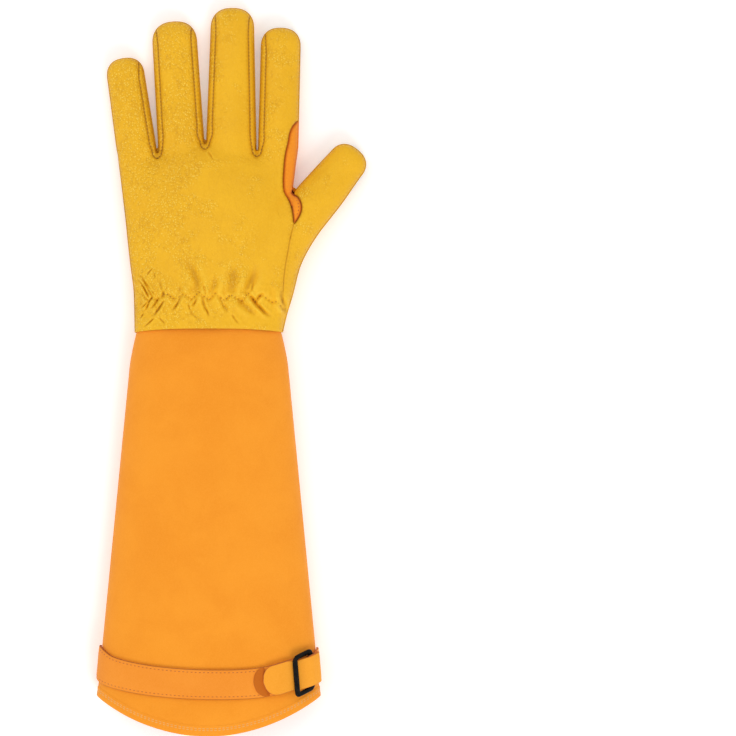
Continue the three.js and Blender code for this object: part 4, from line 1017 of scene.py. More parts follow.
def grained_leather(rgb):
    """Palm leather: pebble of 1.3 mm cells with darker valleys, and fine wrinkles across the hand."""
    f = Finish("grained_palm_leather", Roughness=0.55, Specular_IOR_Level=0.25)
    warp = f.noise(0.004, 3, 0.6)
    cells = f.cells(0.0013, at=f.stretched(0.75, 1.0, 1.0))
    fine = f.cells(0.0008)
    valleys = f.spread(cells, 0.38, 0.75)
    lines = f.noise(0.0030, 4, 0.6, at=f.stretched(0.45, 1.0, 1.0), distortion=1.2)
    tone = f.mix(f.noise(0.030, 3, 0.5), shade(rgb, 0.95, (1, 0.98, 0.9)), shade(rgb, 1.05, (1, 1.02, 1.2)))
    tone = f.mix(valleys * 0.16, tone, shade(rgb, 0.62, (1, 0.9, 0.6)))
    tone = f.mix(f.spread(lines, 0.52, 0.36) * 0.30, tone, shade(rgb, 0.60, (1, 0.85, 0.5)))
    # Painted shade along the palm's seams, from the mesh.
    tone = f.mix(f.painted_shading(0.5), tone, shade(rgb, 0.5, (1, 0.7, 0.3)))
    grain = f.bump(0.0 - cells, 0.00055, 0.8)
    grain = f.bump(0.0 - fine, 0.00018, 0.6, grain)
    grain = f.bump(warp, 0.0008, 0.25, f.bump(lines, 0.0009, 0.7, grain))
    return f.out(Base_Color=tone, Roughness=f.spread(valleys, 0.0, 1.0, 0.48, 0.68), Normal=grain)


def nap(name, rgb, weave=0.0, edge=0.55):
    """Brushed suede or canvas: fuzzy speckle in soft clouds and, for canvas, a crossed weave; edge sets how far
    the painted shade in seams and along edges lowers the colour.
    """
    f = Finish(name, Roughness=0.92, Sheen_Weight=0.12, Sheen_Roughness=0.5, Specular_IOR_Level=0.2)
    speck = f.noise(0.0010, 4, 0.75)
    clouds = f.noise(0.035, 4, 0.6, distortion=0.3)
    fuzz = f.noise(0.00035, 3, 0.7)
    tone = f.mix(f.spread(clouds, 0.3, 0.7), shade(rgb, 0.97, (1, 0.97, 0.9)),
                 shade(rgb, 1.02, (1, 1.03, 1.15)))
    tone = f.mix(f.spread(speck, 0.35, 0.70) * 0.30, tone, shade(rgb, 1.1, (1, 1.18, 2.4)))
    tone = f.mix(f.spread(fuzz, 0.55, 0.75) * 0.22, tone, shade(rgb, 0.80, (1, 0.85, 0.6)))
    # Painted shade where the mesh carries it: seams of the web and the edges of the strap.
    tone = f.mix(f.painted_shading(0.6), tone, shade(rgb, edge, (1, 0.5, 0.4)))
    grain = f.bump(speck, 0.00022, 0.6)
    grain = f.bump(fuzz, 0.00012, 0.6, grain)
    if weave:
        x, y = (f.node("ShaderNodeTexWave", "Fac", {"bands_direction": way}, Vector=f.place,
                       Scale=1 / weave / 3.2, Distortion=1.5, Detail=2.0, Detail_Scale=2.0) for way in "XY")
        grain = f.bump(x * y, 0.00016, 0.5, grain)
    return f.out(Base_Color=tone, Normal=grain)


def coated_black(rgb):
    """Touch tips: black coating with a fine pebble that catches the light."""
    f = Finish("coated_black_tip", Roughness=0.38, Specular_IOR_Level=0.5, Coat_Weight=0.12,
               Coat_Roughness=0.3)
    cells = f.cells(0.0010)
    clouds = f.noise(0.012, 3, 0.6)
    tone = f.mix(f.spread(cells, 0.1, 0.7), shade(rgb, 1.5), shade(rgb, 0.6))
    grain = f.bump(0.0 - cells, 0.00035, 0.8)
    return f.out(Base_Color=tone, Roughness=f.spread(clouds, 0.3, 0.7, 0.32, 0.48), Normal=grain)


def painted_metal(rgb):
    """Buckle: black paint, worn a little lighter in faint clouds."""
    f = Finish("black_painted_metal", Roughness=0.25, Specular_IOR_Level=0.14)
    clouds = f.noise(0.004, 4, 0.6)
    fine = f.noise(0.0005, 3, 0.6)
    tone = f.mix(f.spread(clouds, 0.45, 0.7), shade(rgb, 0.8), shade(rgb, 2.4))
    rough = f.spread(clouds, 0.3, 0.7, 0.22, 0.38)
    return f.out(Base_Color=tone, Roughness=rough, Normal=f.bump(fine, 0.00006, 0.5))


def twisted_thread(name, rgb):
    """Sewing thread: fine twist lines along each stitch."""
    f = Finish(name, Roughness=0.7, Sheen_Weight=0.3)
    twist = f.noise(0.0004, 2, 0.5, at=f.stretched(1.0, 1.0, 1.0, 0.6))
    tone = f.mix(twist, shade(rgb, 0.7), shade(rgb, 1.15))
    return f.out(Base_Color=tone, Normal=f.bump(twist, 0.0001, 0.7))


def finishes(scene):
    """All materials by name, made once."""
    c = scene.gauntlet_colours
    kinds = {"back": lambda: smooth_leather(c.back), "palm": lambda: grained_leather(c.palm),
             "orange": lambda: nap("orange_suede", c.orange),
             "canvas": lambda: nap("cuff_canvas", c.canvas, 0.0007),
             # The strap's edges take a strong painted shadow line.
             "strap": lambda: nap("strap_suede", c.strap, 0.0, 0.30),
             # Painted light: the tail's suede is the strap colour made lighter and yellower, as if lit on the
             # raised tail.
             "tail": lambda: nap("strap_tail_suede", shade(c.strap, 1.0, (1.03, 1.22, 1.0))),
             # A painted shadow: the strap colour in shade, for the sheet beyond the tail's tip.
             "shade_sheet": lambda: nap("painted_tail_shadow", shade(c.strap, 0.62, (1, 0.74, 0.4))),
             "black": lambda: coated_black(c.black), "metal": lambda: painted_metal(c.metal),
             "seam": lambda: twisted_thread("seam_thread", c.seam),
             "hem": lambda: twisted_thread("hem_thread", c.hem),
             "orange_thread": lambda: twisted_thread("orange_thread", c.stitch),
             "white": lambda: twisted_thread("white_thread", c.white)}
    for name, build in kinds.items():
        if name not in MATERIALS:
            MATERIALS[name] = build()
    return MATERIALS


MATERIALS = {}
SHAPES = {}


def the_hand(scene):
    if "hand" not in SHAPES:
        SHAPES["hand"] = Hand(scene.gauntlet_hand)
    return SHAPES["hand"]


def stitch_row(hand, line, stitch, lift):
    """Stitches along a plan line on the back of the hand, lift above its skin."""
    z, _, rim = hand.skin(line[:, 0], line[:, 1], True)
    path = np.column_stack([line, z + lift])[(rim > 0.7) & inside(line, hand.closed)]
    return threads(path, np.tile([0.0, 0.0, 1.0], (len(path), 1)), *stitch)


class GAUNTLET_OT_leather(bpy.types.Operator):
    """Back, palm, thumb, web and finger side walls of the hand"""

    bl_idname = "gauntlet.leather"
    bl_label = "Leather hand"

    def execute(self, context):
        hand, looks = the_hand(context.scene), finishes(context.scene)
        finish = {"palm_panel": ("palm", "palm_leather"), "web_patch": ("orange", "orange_leather")}
        for name, sides in hand_regions(hand).items():
            skins = []
            for net, mask, seams, top in sides:
                if not mask.any():
                    raise RuntimeError(f"{name} has no area on one side of the hand")
                skins.append(leather_skin(hand, net, mask, seams, top))
            points, faces = weld(*join(skins))
            painted_shading = np.tile(points[:, 3], 2)
            points, faces = thicken(points[:, :3], faces, hand.leather)
            look, slot = finish.get(name, ("back", "back_leather"))
            make_object(name + "_leather", points, faces, looks[look], [name], painted_shading=painted_shading)
        rows = [stitch_row(hand, line, FORK_STITCH, -0.62) for line in seam_lines(hand)[0]]
        rows.append(stitch_row(hand, resample(np.array(SHIRR) * hand.unit, 0.4), SHIRR_STITCH, -0.15))
        points, faces = join(rows)
        make_object("seam_stitching", points, faces, looks["seam"])
        tab = inset_line(spline(hand.plan(WEB_TAB), 0.8), 1.7, False)
        points, faces = stitch_row(hand, tab, WEB_STITCH, 0.05)
        make_object("web_stitching", points, faces, looks["orange_thread"])
        return {"FINISHED"}


class Cuff:
    """Form of the canvas cuff and the strap line on it, in millimetres."""

    def __init__(self, sizes, hand):
        self.length, self.hem, self.wrist = sizes.length * 1000, sizes.hem * 1000, sizes.wrist * 1000
        self.thick, self.wall = sizes.thickness * 1000, sizes.canvas * 1000
        self.width, self.strap_wall, self.bar = sizes.strap * 1000, sizes.strap_wall * 1000, sizes.bar * 1000
        self.sag = 0.093 * self.length
        self.corner = self.length - self.sag
        self.neck, self.lift, self.hand_thick = 2.32, hand.lift, hand.thick
        angles = np.arange(-9, 192, 0.5)
        p = self.point(angles, np.full(len(angles), 0.86 * self.length), 0)
        self.arc = run_length(p[:, [0, 2]])
        self.angles = angles
        self.on_cuff = 0.6 + self.strap_wall / 2
        self.on_band = self.on_cuff + self.strap_wall + 0.8
        near_rise = self.on_cuff + self.strap_wall / 2 + CLEAR + BAR_HALF
        far_rise = self.on_band + self.strap_wall / 2 + CLEAR + BAR_HALF + 0.25
        self.near = self.strap_point(23, 0, near_rise)
        far = self.strap_point(39, 0, far_rise)
        wide = self.point(31, 0.84 * self.length, 4) - self.point(31, 0.88 * self.length, 4)
        self.wide = wide / np.linalg.norm(wide)
        run = far - self.near
        run = run - 0.12 * np.linalg.norm(run) * self.wide
        self.span = np.linalg.norm(run)
        self.along = run / self.span
        out = np.cross(self.wide, self.along)
        out /= np.linalg.norm(out)
        self.out = out if out[2] > 0 else -out

    def point(self, angle, down, height):
        """Point on the cuff: the top half is an ellipse, the underside the flat power-4 curve |x|^4+|z|^4=1.

        angle runs round it in degrees from the thumb side, down is the distance below the wrist seam and
        height the distance out along the normal.
        """
        angle, down, height = np.broadcast_arrays(*(np.asarray(v, float) for v in (angle, down, height)))
        t = np.maximum(0, down) / self.corner
        leave = np.clip(down / (0.055 * self.length), 0, 1)
        flare = (self.hem - self.wrist) / 2 * np.minimum(1.2, t)
        half = self.wrist / 2 - self.neck * (1 - 0.85 * step(down, -2, 25)) + flare
        low = (self.lift + self.neck) * (1 - leave)
        start = self.lift + self.hand_thick - self.neck
        high = start + ((0.86 + 0.14 * np.minimum(1, t)) * self.thick - start) * leave ** 0.6
        zs = low + SEAM_SHARE * (high - low)
        c, s = np.cos(np.radians(angle)), np.sin(np.radians(angle))
        up, drop = high - zs, np.maximum(zs - low, 1e-6)
        n = np.hypot(c / half, s / up)
        top = (half * c + height * c / half / n, zs + up * s + height * s / up / n)
        cc, ss = np.abs(c) ** 0.5, np.minimum(1, 1.03 * np.maximum(-s, 0) ** 0.5)
        nx, nz = cc ** 3 / half, ss ** 3 / drop
        n = np.maximum(np.hypot(nx, nz), 1e-12)
        under = (np.sign(c) * (half * cc + height * nx / n), zs - drop * ss - height * nz / n)
        return np.stack([np.where(s >= 0, top[0], under[0]), -down, np.where(s >= 0, top[1], under[1])], -1)

    def end(self, angle):
        """Distance from the wrist seam to the hem: length - sag*|x share|^1.95."""
        x = self.point(angle, self.corner, 0)[..., 0]
        return self.length - self.sag * (np.abs(x) / (self.hem / 2)) ** 1.95

    def strap_point(self, angle, across, height):
        """Point on the strap line: across is square to its course on the cuff."""
        angle, across, height = np.broadcast_arrays(*(np.asarray(v, float) for v in (angle, across, height)))

        def down(a):
            return curve(a, STRAP_LINE[:, 0], STRAP_LINE[:, 1]) * self.length

        def arc(a):
            return np.interp(a, self.angles, self.arc)
        slope = (down(angle + 3) - down(angle - 3)) / (arc(angle + 3) - arc(angle - 3)) * step(angle, 25, 65)
        run = np.hypot(1, slope)
        at = arc(angle) + across * slope / run
        return self.point(np.interp(at, self.arc, self.angles), down(angle) - across / run, height)

    def place(self, a, w, h):
        """Point in the buckle's own frame: a from the near bar to the far bar, w along the bars, h out."""
        a, w, h = np.broadcast_arrays(*(np.asarray(v, float) for v in (a, w, h)))
        return self.near + a[..., None] * self.along + w[..., None] * self.wide + h[..., None] * self.out

    def surface(self, angle, v, top):
        """Outer skin with its height over the plain form: soft waves, side seam ridge, hem fold.

        height = waves + 0.5*bell(side/1.2mm) + 0.45 within 5 mm of the hem - 0.5*bell(edge/0.5mm).
        """
        end = self.end(angle)
        down = -WRIST_TUCK + (end + WRIST_TUCK) * v
        base = self.point(angle, down, 0)
        edge = (1 - v) * (end + WRIST_TUCK)
        side = np.minimum(np.abs(angle), 180 - np.abs(angle)) * math.pi / 180 * 0.45 * self.hem
        middle = down / self.length
        strap = bell((middle - 0.855) / 0.09) if top else 0.0
        x, y = base[..., 0], base[..., 1]
        wave = 0.55 * ripple(x, y * 0.45, 46, 0.7) + 0.22 * ripple(x, y * 0.6, 17, 1.9)
        soft = step(down, 4, 40) * (1 - strap) * step(side, 2, 14)
        if not top:
            wave, soft = np.minimum(0.2 * wave, 0), soft * 0.5
        fold = 0.45 * (1 - step(edge, 6.6, 7.4)) - 0.5 * bell(edge / 0.55) - 0.14 * bell((edge - 4.6) / 1.2)
        felled = 0.40 * bell(side / 1.1) - 0.35 * bell((side - 2.6) / 0.9)
        tuck = -0.6 * (1 - step(down, 0, 3.0))
        height = wave * soft + (fold if top else fold * 0.3) + tuck
        height += felled * step(down, 2, 10) * (0.8 if top else 0.0)
        return self.point(angle, down, height), down, edge


def section(width, wall, puff=0.12):
    """Cross-section of a strap: across and height of a rounded rectangle, puffed between its edge stitches."""
    w, h = width / 2, wall / 2
    flat = np.linspace(1, -1, 17) * (w - 0.45)
    rise = h + puff * (1 - (flat / w) ** 4) - 0.16 * bell((np.abs(flat) - (w - STRAP_ROW)) / 0.5)
    turn = np.radians([90, 125, 160, 200, 235, 270])
    ca, ch = -(w - 0.45) + 0.45 * np.cos(turn), h * np.sin(turn)
    across = np.concatenate([flat, ca[1:-1], -flat, -ca[::-1][1:-1]])
    height = np.concatenate([rise, ch[1:-1], np.full(17, -h), ch[::-1][1:-1]])
    return across, height


def smooth_rings(rings, spacing):
    """More rings between the given ones, by a cubic curve in distance along them."""
    flat = rings.reshape(len(rings), -1)
    at = run_length(rings.mean(1))
    want = np.linspace(0, at[-1], int(at[-1] / spacing) + 2)
    made = np.column_stack([curve(want, at, flat[:, k]) for k in range(flat.shape[1])])
    return made.reshape(len(want), *rings.shape[1:])


def the_cuff(scene):
    if "cuff" not in SHAPES:
        SHAPES["cuff"] = Cuff(scene.gauntlet_cuff, the_hand(scene))
    return SHAPES["cuff"]


class GAUNTLET_OT_cuff(bpy.types.Operator):
    """The two canvas panels of the cuff, with their hem"""

    bl_idname = "gauntlet.cuff"
    bl_label = "Canvas cuff"

    def execute(self, context):
        cuff, looks = the_cuff(context.scene), finishes(context.scene)
        for name, top, gap in (("cuff_back", True, 0.3), ("cuff_palm", False, 0.004)):
            u = (1 - np.cos(np.linspace(0, math.pi, 131))) / 2 * 0.35 + np.linspace(0, 1, 131) * 0.65
            angles = gap + (180 - 2 * gap) * u
            angles = angles if top else -angles
            v = np.concatenate([np.linspace(0, 0.94, 150), np.linspace(0.942, 1, 34)])
            a, d = np.meshgrid(angles, v)
            points, _, _ = cuff.surface(a, d, top)
            points = points.reshape(-1, 3)
            faces = grid_faces(len(v), len(angles))
            if vertex_normals(points, faces)[len(points) // 2][2] * (1 if top else -1) < 0:
                faces = faces[:, ::-1]
            area = np.linalg.norm(np.cross(points[faces[:, 1]] - points[faces[:, 0]],
                                           points[faces[:, 2]] - points[faces[:, 0]]), axis=1).sum() / 2e6
            points, faces = thicken(points, faces, cuff.wall)
            panel = make_object(name + "_canvas", points, faces, looks["canvas"], [name])
        rows = []
        for top, gap in ((True, 1.2), (False, 1.0)):
            a = np.linspace(gap, 180 - gap, 400) * (1 if top else -1)
            for inset in HEM_ROWS:
                v = 1 - inset / (cuff.end(a) + WRIST_TUCK)
                path, _, _ = cuff.surface(a, v, top)
                up = cuff.point(a, cuff.end(a) - inset, 5) - cuff.point(a, cuff.end(a) - inset, 0)
                path = path + up * 0.01
                path[:, 2] = np.maximum(path[:, 2], 0.34)
                rows.append(threads(path, up, *HEM_STITCH))
        points, faces = join(rows)
        make_object("hem_stitching", points, faces, looks["hem"])
        return {"FINISHED"}


class GAUNTLET_OT_strap(bpy.types.Operator):
    """The strap: its band round the near bar of the buckle, the tail that comes back over it, and the painted
    shadow sheet under the tail's tip
    """

    bl_idname = "gauntlet.strap"
    bl_label = "Strap"

    def execute(self, context):
        cuff, looks = the_cuff(context.scene), finishes(context.scene)
        across, height = section(cuff.width, cuff.strap_wall)
        reach = cuff.bar / 2 + CLEAR + cuff.strap_wall / 2 + 0.2
        rise = BAR_HALF + CLEAR + cuff.strap_wall / 2

        def lay(angle, lift, width=1.0, thin=1.0):
            return cuff.strap_point(angle, across * width, lift + height * thin)

        def wrap(path, flip=1):
            """Sections square to a path in the buckle's own plane."""
            path = np.array(path)
            d = np.gradient(path, axis=0)
            d /= np.linalg.norm(d, axis=1, keepdims=True)
            na, nh = flip * d[:, 1], -flip * d[:, 0]
            return [cuff.place(p[0] + a * height, across, p[1] + h * height) for p, a, h in zip(path, na, nh)]
        band = [lay(a, cuff.on_cuff) for a in BAND_AT]
        turn = np.radians([0, 20, 40, 60, 80, 100, 120, 140, 160, 180])
        c = -np.cos(turn)
        fold = np.column_stack([-reach * np.sin(turn) ** 0.7, rise * np.sign(c) * np.abs(c) ** 0.7])
        fold = np.vstack([fold, [(cuff.bar / 2 + 1.2, rise)]])
        band += wrap(fold)
        r, h = reach + cuff.strap_wall + 0.6, rise + cuff.strap_wall + 0.6
        s = cuff.span
        path = [(-9.3, -3.1), (-r - 1.5, -1.9), (-r - 0.3, -0.6), (-r, 0.8), (-r * 0.86, h * 0.66),
                (-r * 0.55, h * 0.95), (0, h), (r * 0.42, h), (r * 0.72, h * 0.86), (s * 0.52, 1.6),
                (s * 0.66, -0.4), (s * 0.82, -rise * 0.86), (s, -rise)]
        tail = [lay(-2, cuff.on_cuff), lay(2, cuff.on_cuff + 0.1)] + wrap(path, -1)[1:-1]
        tail += [lay(a, cuff.on_band) for a in TAIL_AT]
        # under is a thin sheet in the shaded strap colour reaching past the tail's tip: a painted shadow of the
        # tail.
        under = [lay(a, cuff.on_cuff + 0.5, 0.99, 0.3) for a in SHADOW_SHEET_AT]
        for back in (6.5, 5.0, 3.6, 2.4, 1.4, 0.7, 0.25, 0.04):
            narrow = max(0.08, (1 - (1 - back / 7.6) ** 2.3) ** 0.5)
            tail.append(lay(60 - back, cuff.on_band, narrow))
            under.append(lay(65.6 - back, cuff.on_cuff + 0.5 + cuff.strap_wall / 2, narrow * 0.99, 0.3))
        for name, rings, node, look in (("strap_band_suede", band, ["strap_band"], "strap"),
                                        ("strap_tail_suede", tail, ["strap_tail"], "tail"),
                                        ("tail_shadow_sheet", under, None, "shade_sheet")):
            rings = smooth_rings(np.array(rings), 0.8)
            points, faces = capped_tube(rings)
            # Painted shadow: a line of painted shade along both edges of the band and the tail, none on the
            # sheet under the tail.
            edge = 1.3 * step(np.abs(across), cuff.width / 2 - 0.5, cuff.width / 2 - 0.1)
            painted_shading = np.append(np.tile(edge if node else edge * 0, len(rings)), [0, 0])
            make_object(name, points, outward(points, faces), looks[look], node, 60, painted_shading)
        rows = []
        w = cuff.width / 2 - STRAP_ROW
        for side in (1, -1):
            a = np.linspace(178, 45, 300)
            path = cuff.strap_point(a, side * w, cuff.on_cuff + cuff.strap_wall / 2)
            up = cuff.strap_point(a, side * w, 6) - cuff.strap_point(a, side * w, 1)
            rows.append(threads(path, up, *STRAP_STITCH))
        points, faces = join(rows)
        make_object("strap_stitching", points, faces, looks["orange_thread"])
        return {"FINISHED"}


class GAUNTLET_OT_buckle(bpy.types.Operator):
    """The black rectangular ring buckle"""

    bl_idname = "gauntlet.buckle"
    bl_label = "Buckle"

    def execute(self, context):
        cuff, looks = the_cuff(context.scene), finishes(context.scene)
        half = cuff.width / 2 + 0.7 + cuff.bar * 0.4
        corner = 2.4
        a, w, turn = [], [], []
        for ca, cw, start in ((cuff.span - corner, half - corner, 0), (corner, half - corner, 90),
                              (corner, -half + corner, 180), (cuff.span - corner, -half + corner, 270)):
            steps = np.radians(start + np.linspace(0, 90, 9))
            a, w, turn = a + [ca] * 9, w + [cw] * 9, turn + list(steps)
        a, w, turn = np.array(a), np.array(w), np.array(turn)
        p = np.linspace(0, 2 * math.pi, 20, endpoint=False)
        bar = cuff.bar / 2 * (0.8 + 0.2 * np.abs(np.cos(turn)))[:, None]
        pr = bar * np.sign(np.cos(p)) * np.abs(np.cos(p)) ** 0.62
        ph = BAR_HALF * np.sign(np.sin(p)) * np.abs(np.sin(p)) ** 0.72
        r = corner + pr
        rings = cuff.place(a[:, None] + np.cos(turn)[:, None] * r, w[:, None] + np.sin(turn)[:, None] * r,
                           np.broadcast_to(ph, r.shape))
        rings = np.concatenate([rings, rings[:1]])
        dense = []
        for i in range(len(rings) - 1):
            dense.append(rings[i:i + 1])
            if np.linalg.norm(rings[i + 1] - rings[i], axis=1).mean() > 3:
                t = np.linspace(0, 1, 9)[1:-1, None, None]
                dense.append(rings[i] * (1 - t) + rings[i + 1] * t)
        rings = np.concatenate(dense)
        faces = grid_faces(len(rings) + 1, 20, True) % (len(rings) * 20)
        points = rings.reshape(-1, 3)
        make_object("buckle_ring", points, outward(points, faces), looks["metal"], ["buckle"], 60)
        return {"FINISHED"}


def inward(outline, closed=True):
    """Unit vectors square to a plan outline that point into it."""
    n = normals_of(outline, closed)
    return n if inside(outline + n * 0.3, outline).mean() >= 0.5 else -n


def flat_net(outline, spacing, rings=(0.12, 0.35, 0.7, 1.2, 1.8, 2.5, 3.3, 4.2)):
    """Points and triangles inside a closed plan outline, and each point's distance from it."""
    closed = np.vstack([outline, outline[:1]])
    n = inward(outline)
    ring = np.vstack([np.column_stack([outline + n * d, np.full(len(outline), d)]) for d in rings])
    low, high = outline.min(0), outline.max(0)
    rows = np.arange(low[1], high[1], spacing * 0.866)
    field = staggered(np.arange(low[0], high[0], spacing), rows, spacing)
    field = field[inside(field, outline)]
    field = field[nearest(field, closed)[0] > rings[-1] + spacing * 0.6]
    ring = ring[inside(ring[:, :2], outline)]
    ring = ring[nearest(ring, closed)[0] > 0.9 * ring[:, 2]][:, :2]
    points = np.vstack([outline, ring, field])
    k = len(outline)
    sides = np.column_stack([np.arange(k), np.roll(np.arange(k), -1)])
    points, faces, _ = triangulate(points, sides, outline)
    used, index = np.unique(faces, return_inverse=True)
    points = points[used]
    return points, index.reshape(-1, 3), nearest(points, closed)[0]


def inset_line(outline, distance, closed=True):
    """The outline moved inward by a distance, without the parts that would come too near to it."""
    n = inward(outline, closed)
    made = outline + n * distance
    made = made[nearest(made, np.vstack([outline, outline[:1]]))[0] > 0.96 * distance]
    return resample(made, 0.7, closed)


def cap_outline(hand, f, cap, margin):
    """Plan outline of a fingertip piece: a line across the finger at cap, its edges and its round end."""
    d = hand.course(f)[0]
    t = np.linspace((cap - f[1]) / (f[4] - f[1]), 1, 14)
    right = hand.finger_edge(f, 1, t) - margin * across_of(d)
    left = hand.finger_edge(f, -1, t) + margin * across_of(d)
    arc = hand.tip_arc(f[3:5], d, f[5] - margin, f[5] - margin)[::-1]
    return resample(np.vstack([right, arc[1:-1], left[::-1]]), 0.8, True)


def thumb_cap_outline(hand, margin):
    """Plan outline of the thumb's tip piece beyond its slanted line."""
    left, right, arc = hand.thumb_edges(margin)
    line = np.vstack([left, arc, right[::-1]])
    a, b = hand.plan(THUMB_TIP_LINE)
    side = (b[0] - a[0]) * (line[:, 1] - a[1]) - (b[1] - a[1]) * (line[:, 0] - a[0])
    return resample(line[side > 0], 0.8, True)


def under_patch(hand, outline, depth, relief):
    """A patch on the underside: outer face = palm - UNDER - depth*edge(d) - relief(x, y, d) and a flat back.

    edge(d) = sqrt(1 - (1 - d/0.9)^2) rounds it down at its outline.
    """
    plan, faces, d = flat_net(outline, 1.2)
    _, low, _ = hand.heights(plan[:, 0], plan[:, 1])
    skin = np.column_stack([plan, low])
    faces = faces[:, ::-1]
    normal = vertex_normals(skin, faces)
    edge = np.sqrt(1 - (1 - np.clip(d / 0.9, 0, 1)) ** 2)
    rise = depth * (0.12 + 0.88 * edge) + relief(plan[:, 0], plan[:, 1], d) * edge
    out = skin + normal * (UNDER + rise)[:, None]
    out[:, 2] = np.maximum(out[:, 2], 0.0)
    return solid_between(out, skin + normal * (UNDER - 0.02), faces)


def patch_row(hand, line, depth, stitch):
    """Stitches laid on the outer face of an underside patch, square to the palm's own slope there."""
    x, y = line.T

    def low(x, y):
        return hand.heights(x, y)[1]
    slope = np.column_stack([(low(x + 0.4, y) - low(x - 0.4, y)) / 0.8,
                             (low(x, y + 0.4) - low(x, y - 0.4)) / 0.8, -np.ones(len(x))])
    up = slope / np.linalg.norm(slope, axis=1, keepdims=True)
    path = np.column_stack([line, low(x, y)]) + up * (depth + 0.08)
    path[:, 2] = np.maximum(path[:, 2], 0.2)
    return threads(path, up, *stitch)


def pad_relief(x, y, d):
    """Grooves at the two stitch rows of a padded patch, a dip inside them and a slight unevenness."""
    first, second = PATCH_ROWS
    grooves = -0.42 * bell((d - first) / 0.55) - 0.30 * bell((d - second) / 0.6)
    return grooves - 0.18 * bell((d - 6.5) / 1.5) + 0.06 * ripple(x, y, 7, 1.0)


def tip_relief(start, d, touch):
    """Relief of a fingertip piece: the groove at its stitches and, on a touch tip, a raised hem."""
    def relief(x, y, _):
        past = Hand.split(x, y, start, d)[0]
        if touch:
            return 0.35 * (1 - step(past, 4.2, 5.2)) - 0.35 * bell((past - TOUCH_ROW) / 0.5)
        return -0.35 * bell((past - CAP_ROW) / 0.5)
    return relief


class GAUNTLET_OT_patches(bpy.types.Operator):
    """Padded palm patches with their double rows of stitches"""

    bl_idname = "gauntlet.patches"
    bl_label = "Palm patches"

    def execute(self, context):
        hand, looks = the_hand(context.scene), finishes(context.scene)
        rows = []
        for name, corners in (("palm_patch", PALM_PATCH), ("heel_patch", HEEL_PATCH)):
            outline = spline(hand.plan(corners), 0.9, True)
            points, faces = under_patch(hand, outline, hand.patch, pad_relief)
            pad = make_object(name + "_suede", points, faces, looks["orange"], [name], 60)
            for inset in PATCH_ROWS:
                rows.append(patch_row(hand, inset_line(outline, inset), hand.patch, PATCH_STITCH))
        points, faces = join(rows)
        make_object("patch_stitching", points, faces, looks["orange_thread"])
        return {"FINISHED"}


class GAUNTLET_OT_tips(bpy.types.Operator):
    """Orange fingertip caps and the two black touch tips"""

    bl_idname = "gauntlet.tips"
    bl_label = "Fingertips"

    def execute(self, context):
        hand, looks = the_hand(context.scene), finishes(context.scene)
        depth = hand.patch * 0.85
        rows = {"white": [], "orange_thread": []}

        def add(name, touch, outline, start, d, line):
            """One tip piece beyond its start, and its stitches at their distance past that line."""
            look, slot = ("black", "black_leather") if touch else ("orange", "orange_leather")
            points, faces = under_patch(hand, outline, depth, tip_relief(start, d, touch))
            make_object(name + ("_coated" if touch else "_suede"), points, faces, looks[look],
                        [name], 60)
            line = line + d * (TOUCH_ROW if touch else CAP_ROW)
            row = patch_row(hand, line, depth + 0.15 * touch, TIP_STITCH)
            rows["white" if touch else "orange_thread"].append(row)
        for f, name in zip(hand.fingers, ("pinky_cap", "ring_cap", "middle_cap", "index_touch_tip")):
            d, size = hand.course(f)
            start = f[:2] + d * (f[6] - f[1]) / (f[4] - f[1]) * size
            line = start + np.linspace(-1, 1, 60)[:, None] * (f[2] - 3.6) * across_of(d)
            add(name, name == "index_touch_tip", cap_outline(hand, f, f[6], 1.9), start, d, line)
        a, b = hand.plan(THUMB_TIP_LINE)
        run = (b - a) / np.hypot(*(b - a))
        line = a + (b - a) * np.linspace(0.12, 0.9, 60)[:, None]
        add("thumb_touch_tip", True, thumb_cap_outline(hand, 2.2), a, -across_of(run), line)
        for look, parts in rows.items():
            points, faces = join(parts)
            make_object(f"tip_stitching_{look}", points, faces, looks[look])
        return {"FINISHED"}


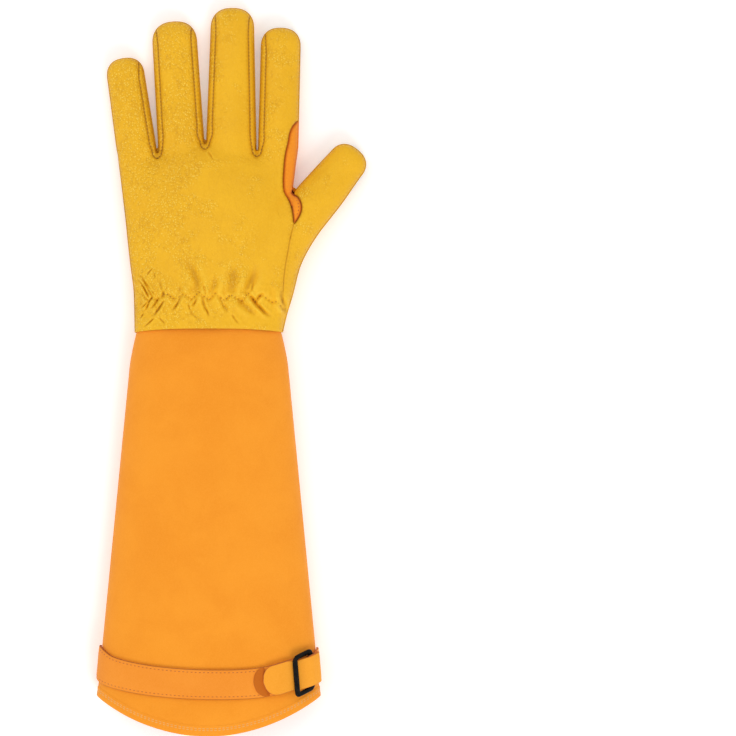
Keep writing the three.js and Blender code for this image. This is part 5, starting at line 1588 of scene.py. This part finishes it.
class GAUNTLET_OT_stage(bpy.types.Operator):
    """Pale floor, soft studio lights and the camera straight above"""

    bl_idname = "gauntlet.stage"
    bl_label = "Studio"

    def execute(self, context):
        scene = context.scene
        mesh = bpy.data.meshes.new("studio_floor")
        mesh.from_pydata([(-4, -4, 0), (4, -4, 0), (4, 4, 0), (-4, 4, 0)], [], [(0, 1, 2, 3)])
        floor = bpy.data.objects.new("studio_floor", mesh)
        scene.collection.objects.link(floor)
        f = Finish("pale_floor", Roughness=0.9, Specular_IOR_Level=0.1, Emission_Color=(1, 1, 1, 1),
                   Emission_Strength=0.2)
        tone = f.mix(f.noise(0.5, 2, 0.4), (0.95, 0.95, 0.95), (0.97, 0.97, 0.97))
        mesh.materials.append(f.out(Base_Color=tone))
        world = bpy.data.worlds.new("studio")
        world.use_nodes = True
        world.node_tree.nodes["Background"].inputs["Color"].default_value = (1, 1, 1, 1)
        world.node_tree.nodes["Background"].inputs["Strength"].default_value = 0.70
        scene.world = world
        scene.view_settings.view_transform = "Standard"
        for name, place, size, power in LIGHTS:
            light = bpy.data.lights.new(name, "AREA")
            light.size, light.energy = size, power
            lamp = bpy.data.objects.new(name, light)
            lamp.location = place
            x, y, z = place
            lamp.rotation_euler = (math.atan2(math.hypot(x, y), z), 0, math.atan2(x, -y))
            scene.collection.objects.link(lamp)
        data = bpy.data.cameras.new("camera")
        data.lens, data.sensor_width = LENS, SENSOR
        camera = bpy.data.objects.new("camera", data)
        camera.location = (*VIEW_MIDDLE, VIEW_WIDTH * LENS / SENSOR + 0.015)
        data.clip_end = 20
        scene.collection.objects.link(camera)
        scene.camera = camera
        return {"FINISHED"}


class GAUNTLET_PT_panel(bpy.types.Panel):
    """Sizes, colours and steps of the gauntlet"""

    bl_idname = "GAUNTLET_PT_panel"
    bl_label = "Pruning gauntlet"
    bl_space_type = "VIEW_3D"
    bl_region_type = "UI"
    bl_category = "Gauntlet"

    def draw(self, context):
        for name in GROUPS:
            box = self.layout.box()
            group = getattr(context.scene, name)
            for prop in group.bl_rna.properties:
                if prop.identifier not in ("rna_type", "name"):
                    box.prop(group, prop.identifier)
        for step_class in STEPS:
            self.layout.operator(step_class.bl_idname)


GROUPS = {"gauntlet_hand": GauntletHand, "gauntlet_cuff": GauntletCuff, "gauntlet_colours": GauntletColours}
STEPS = (GAUNTLET_OT_leather, GAUNTLET_OT_patches, GAUNTLET_OT_tips, GAUNTLET_OT_cuff, GAUNTLET_OT_strap,
         GAUNTLET_OT_buckle, GAUNTLET_OT_stage)


def register():
    for cls in (*GROUPS.values(), *STEPS, GAUNTLET_PT_panel):
        bpy.utils.register_class(cls)
    for name, cls in GROUPS.items():
        setattr(bpy.types.Scene, name, bpy.props.PointerProperty(type=cls))


def unregister():
    for name in GROUPS:
        delattr(bpy.types.Scene, name)
    for cls in reversed((*GROUPS.values(), *STEPS, GAUNTLET_PT_panel)):
        bpy.utils.unregister_class(cls)


def main():
    register()
    for cls in STEPS:
        getattr(bpy.ops.gauntlet, cls.bl_idname.split(".")[1])()


if __name__ == "__main__":
    main()
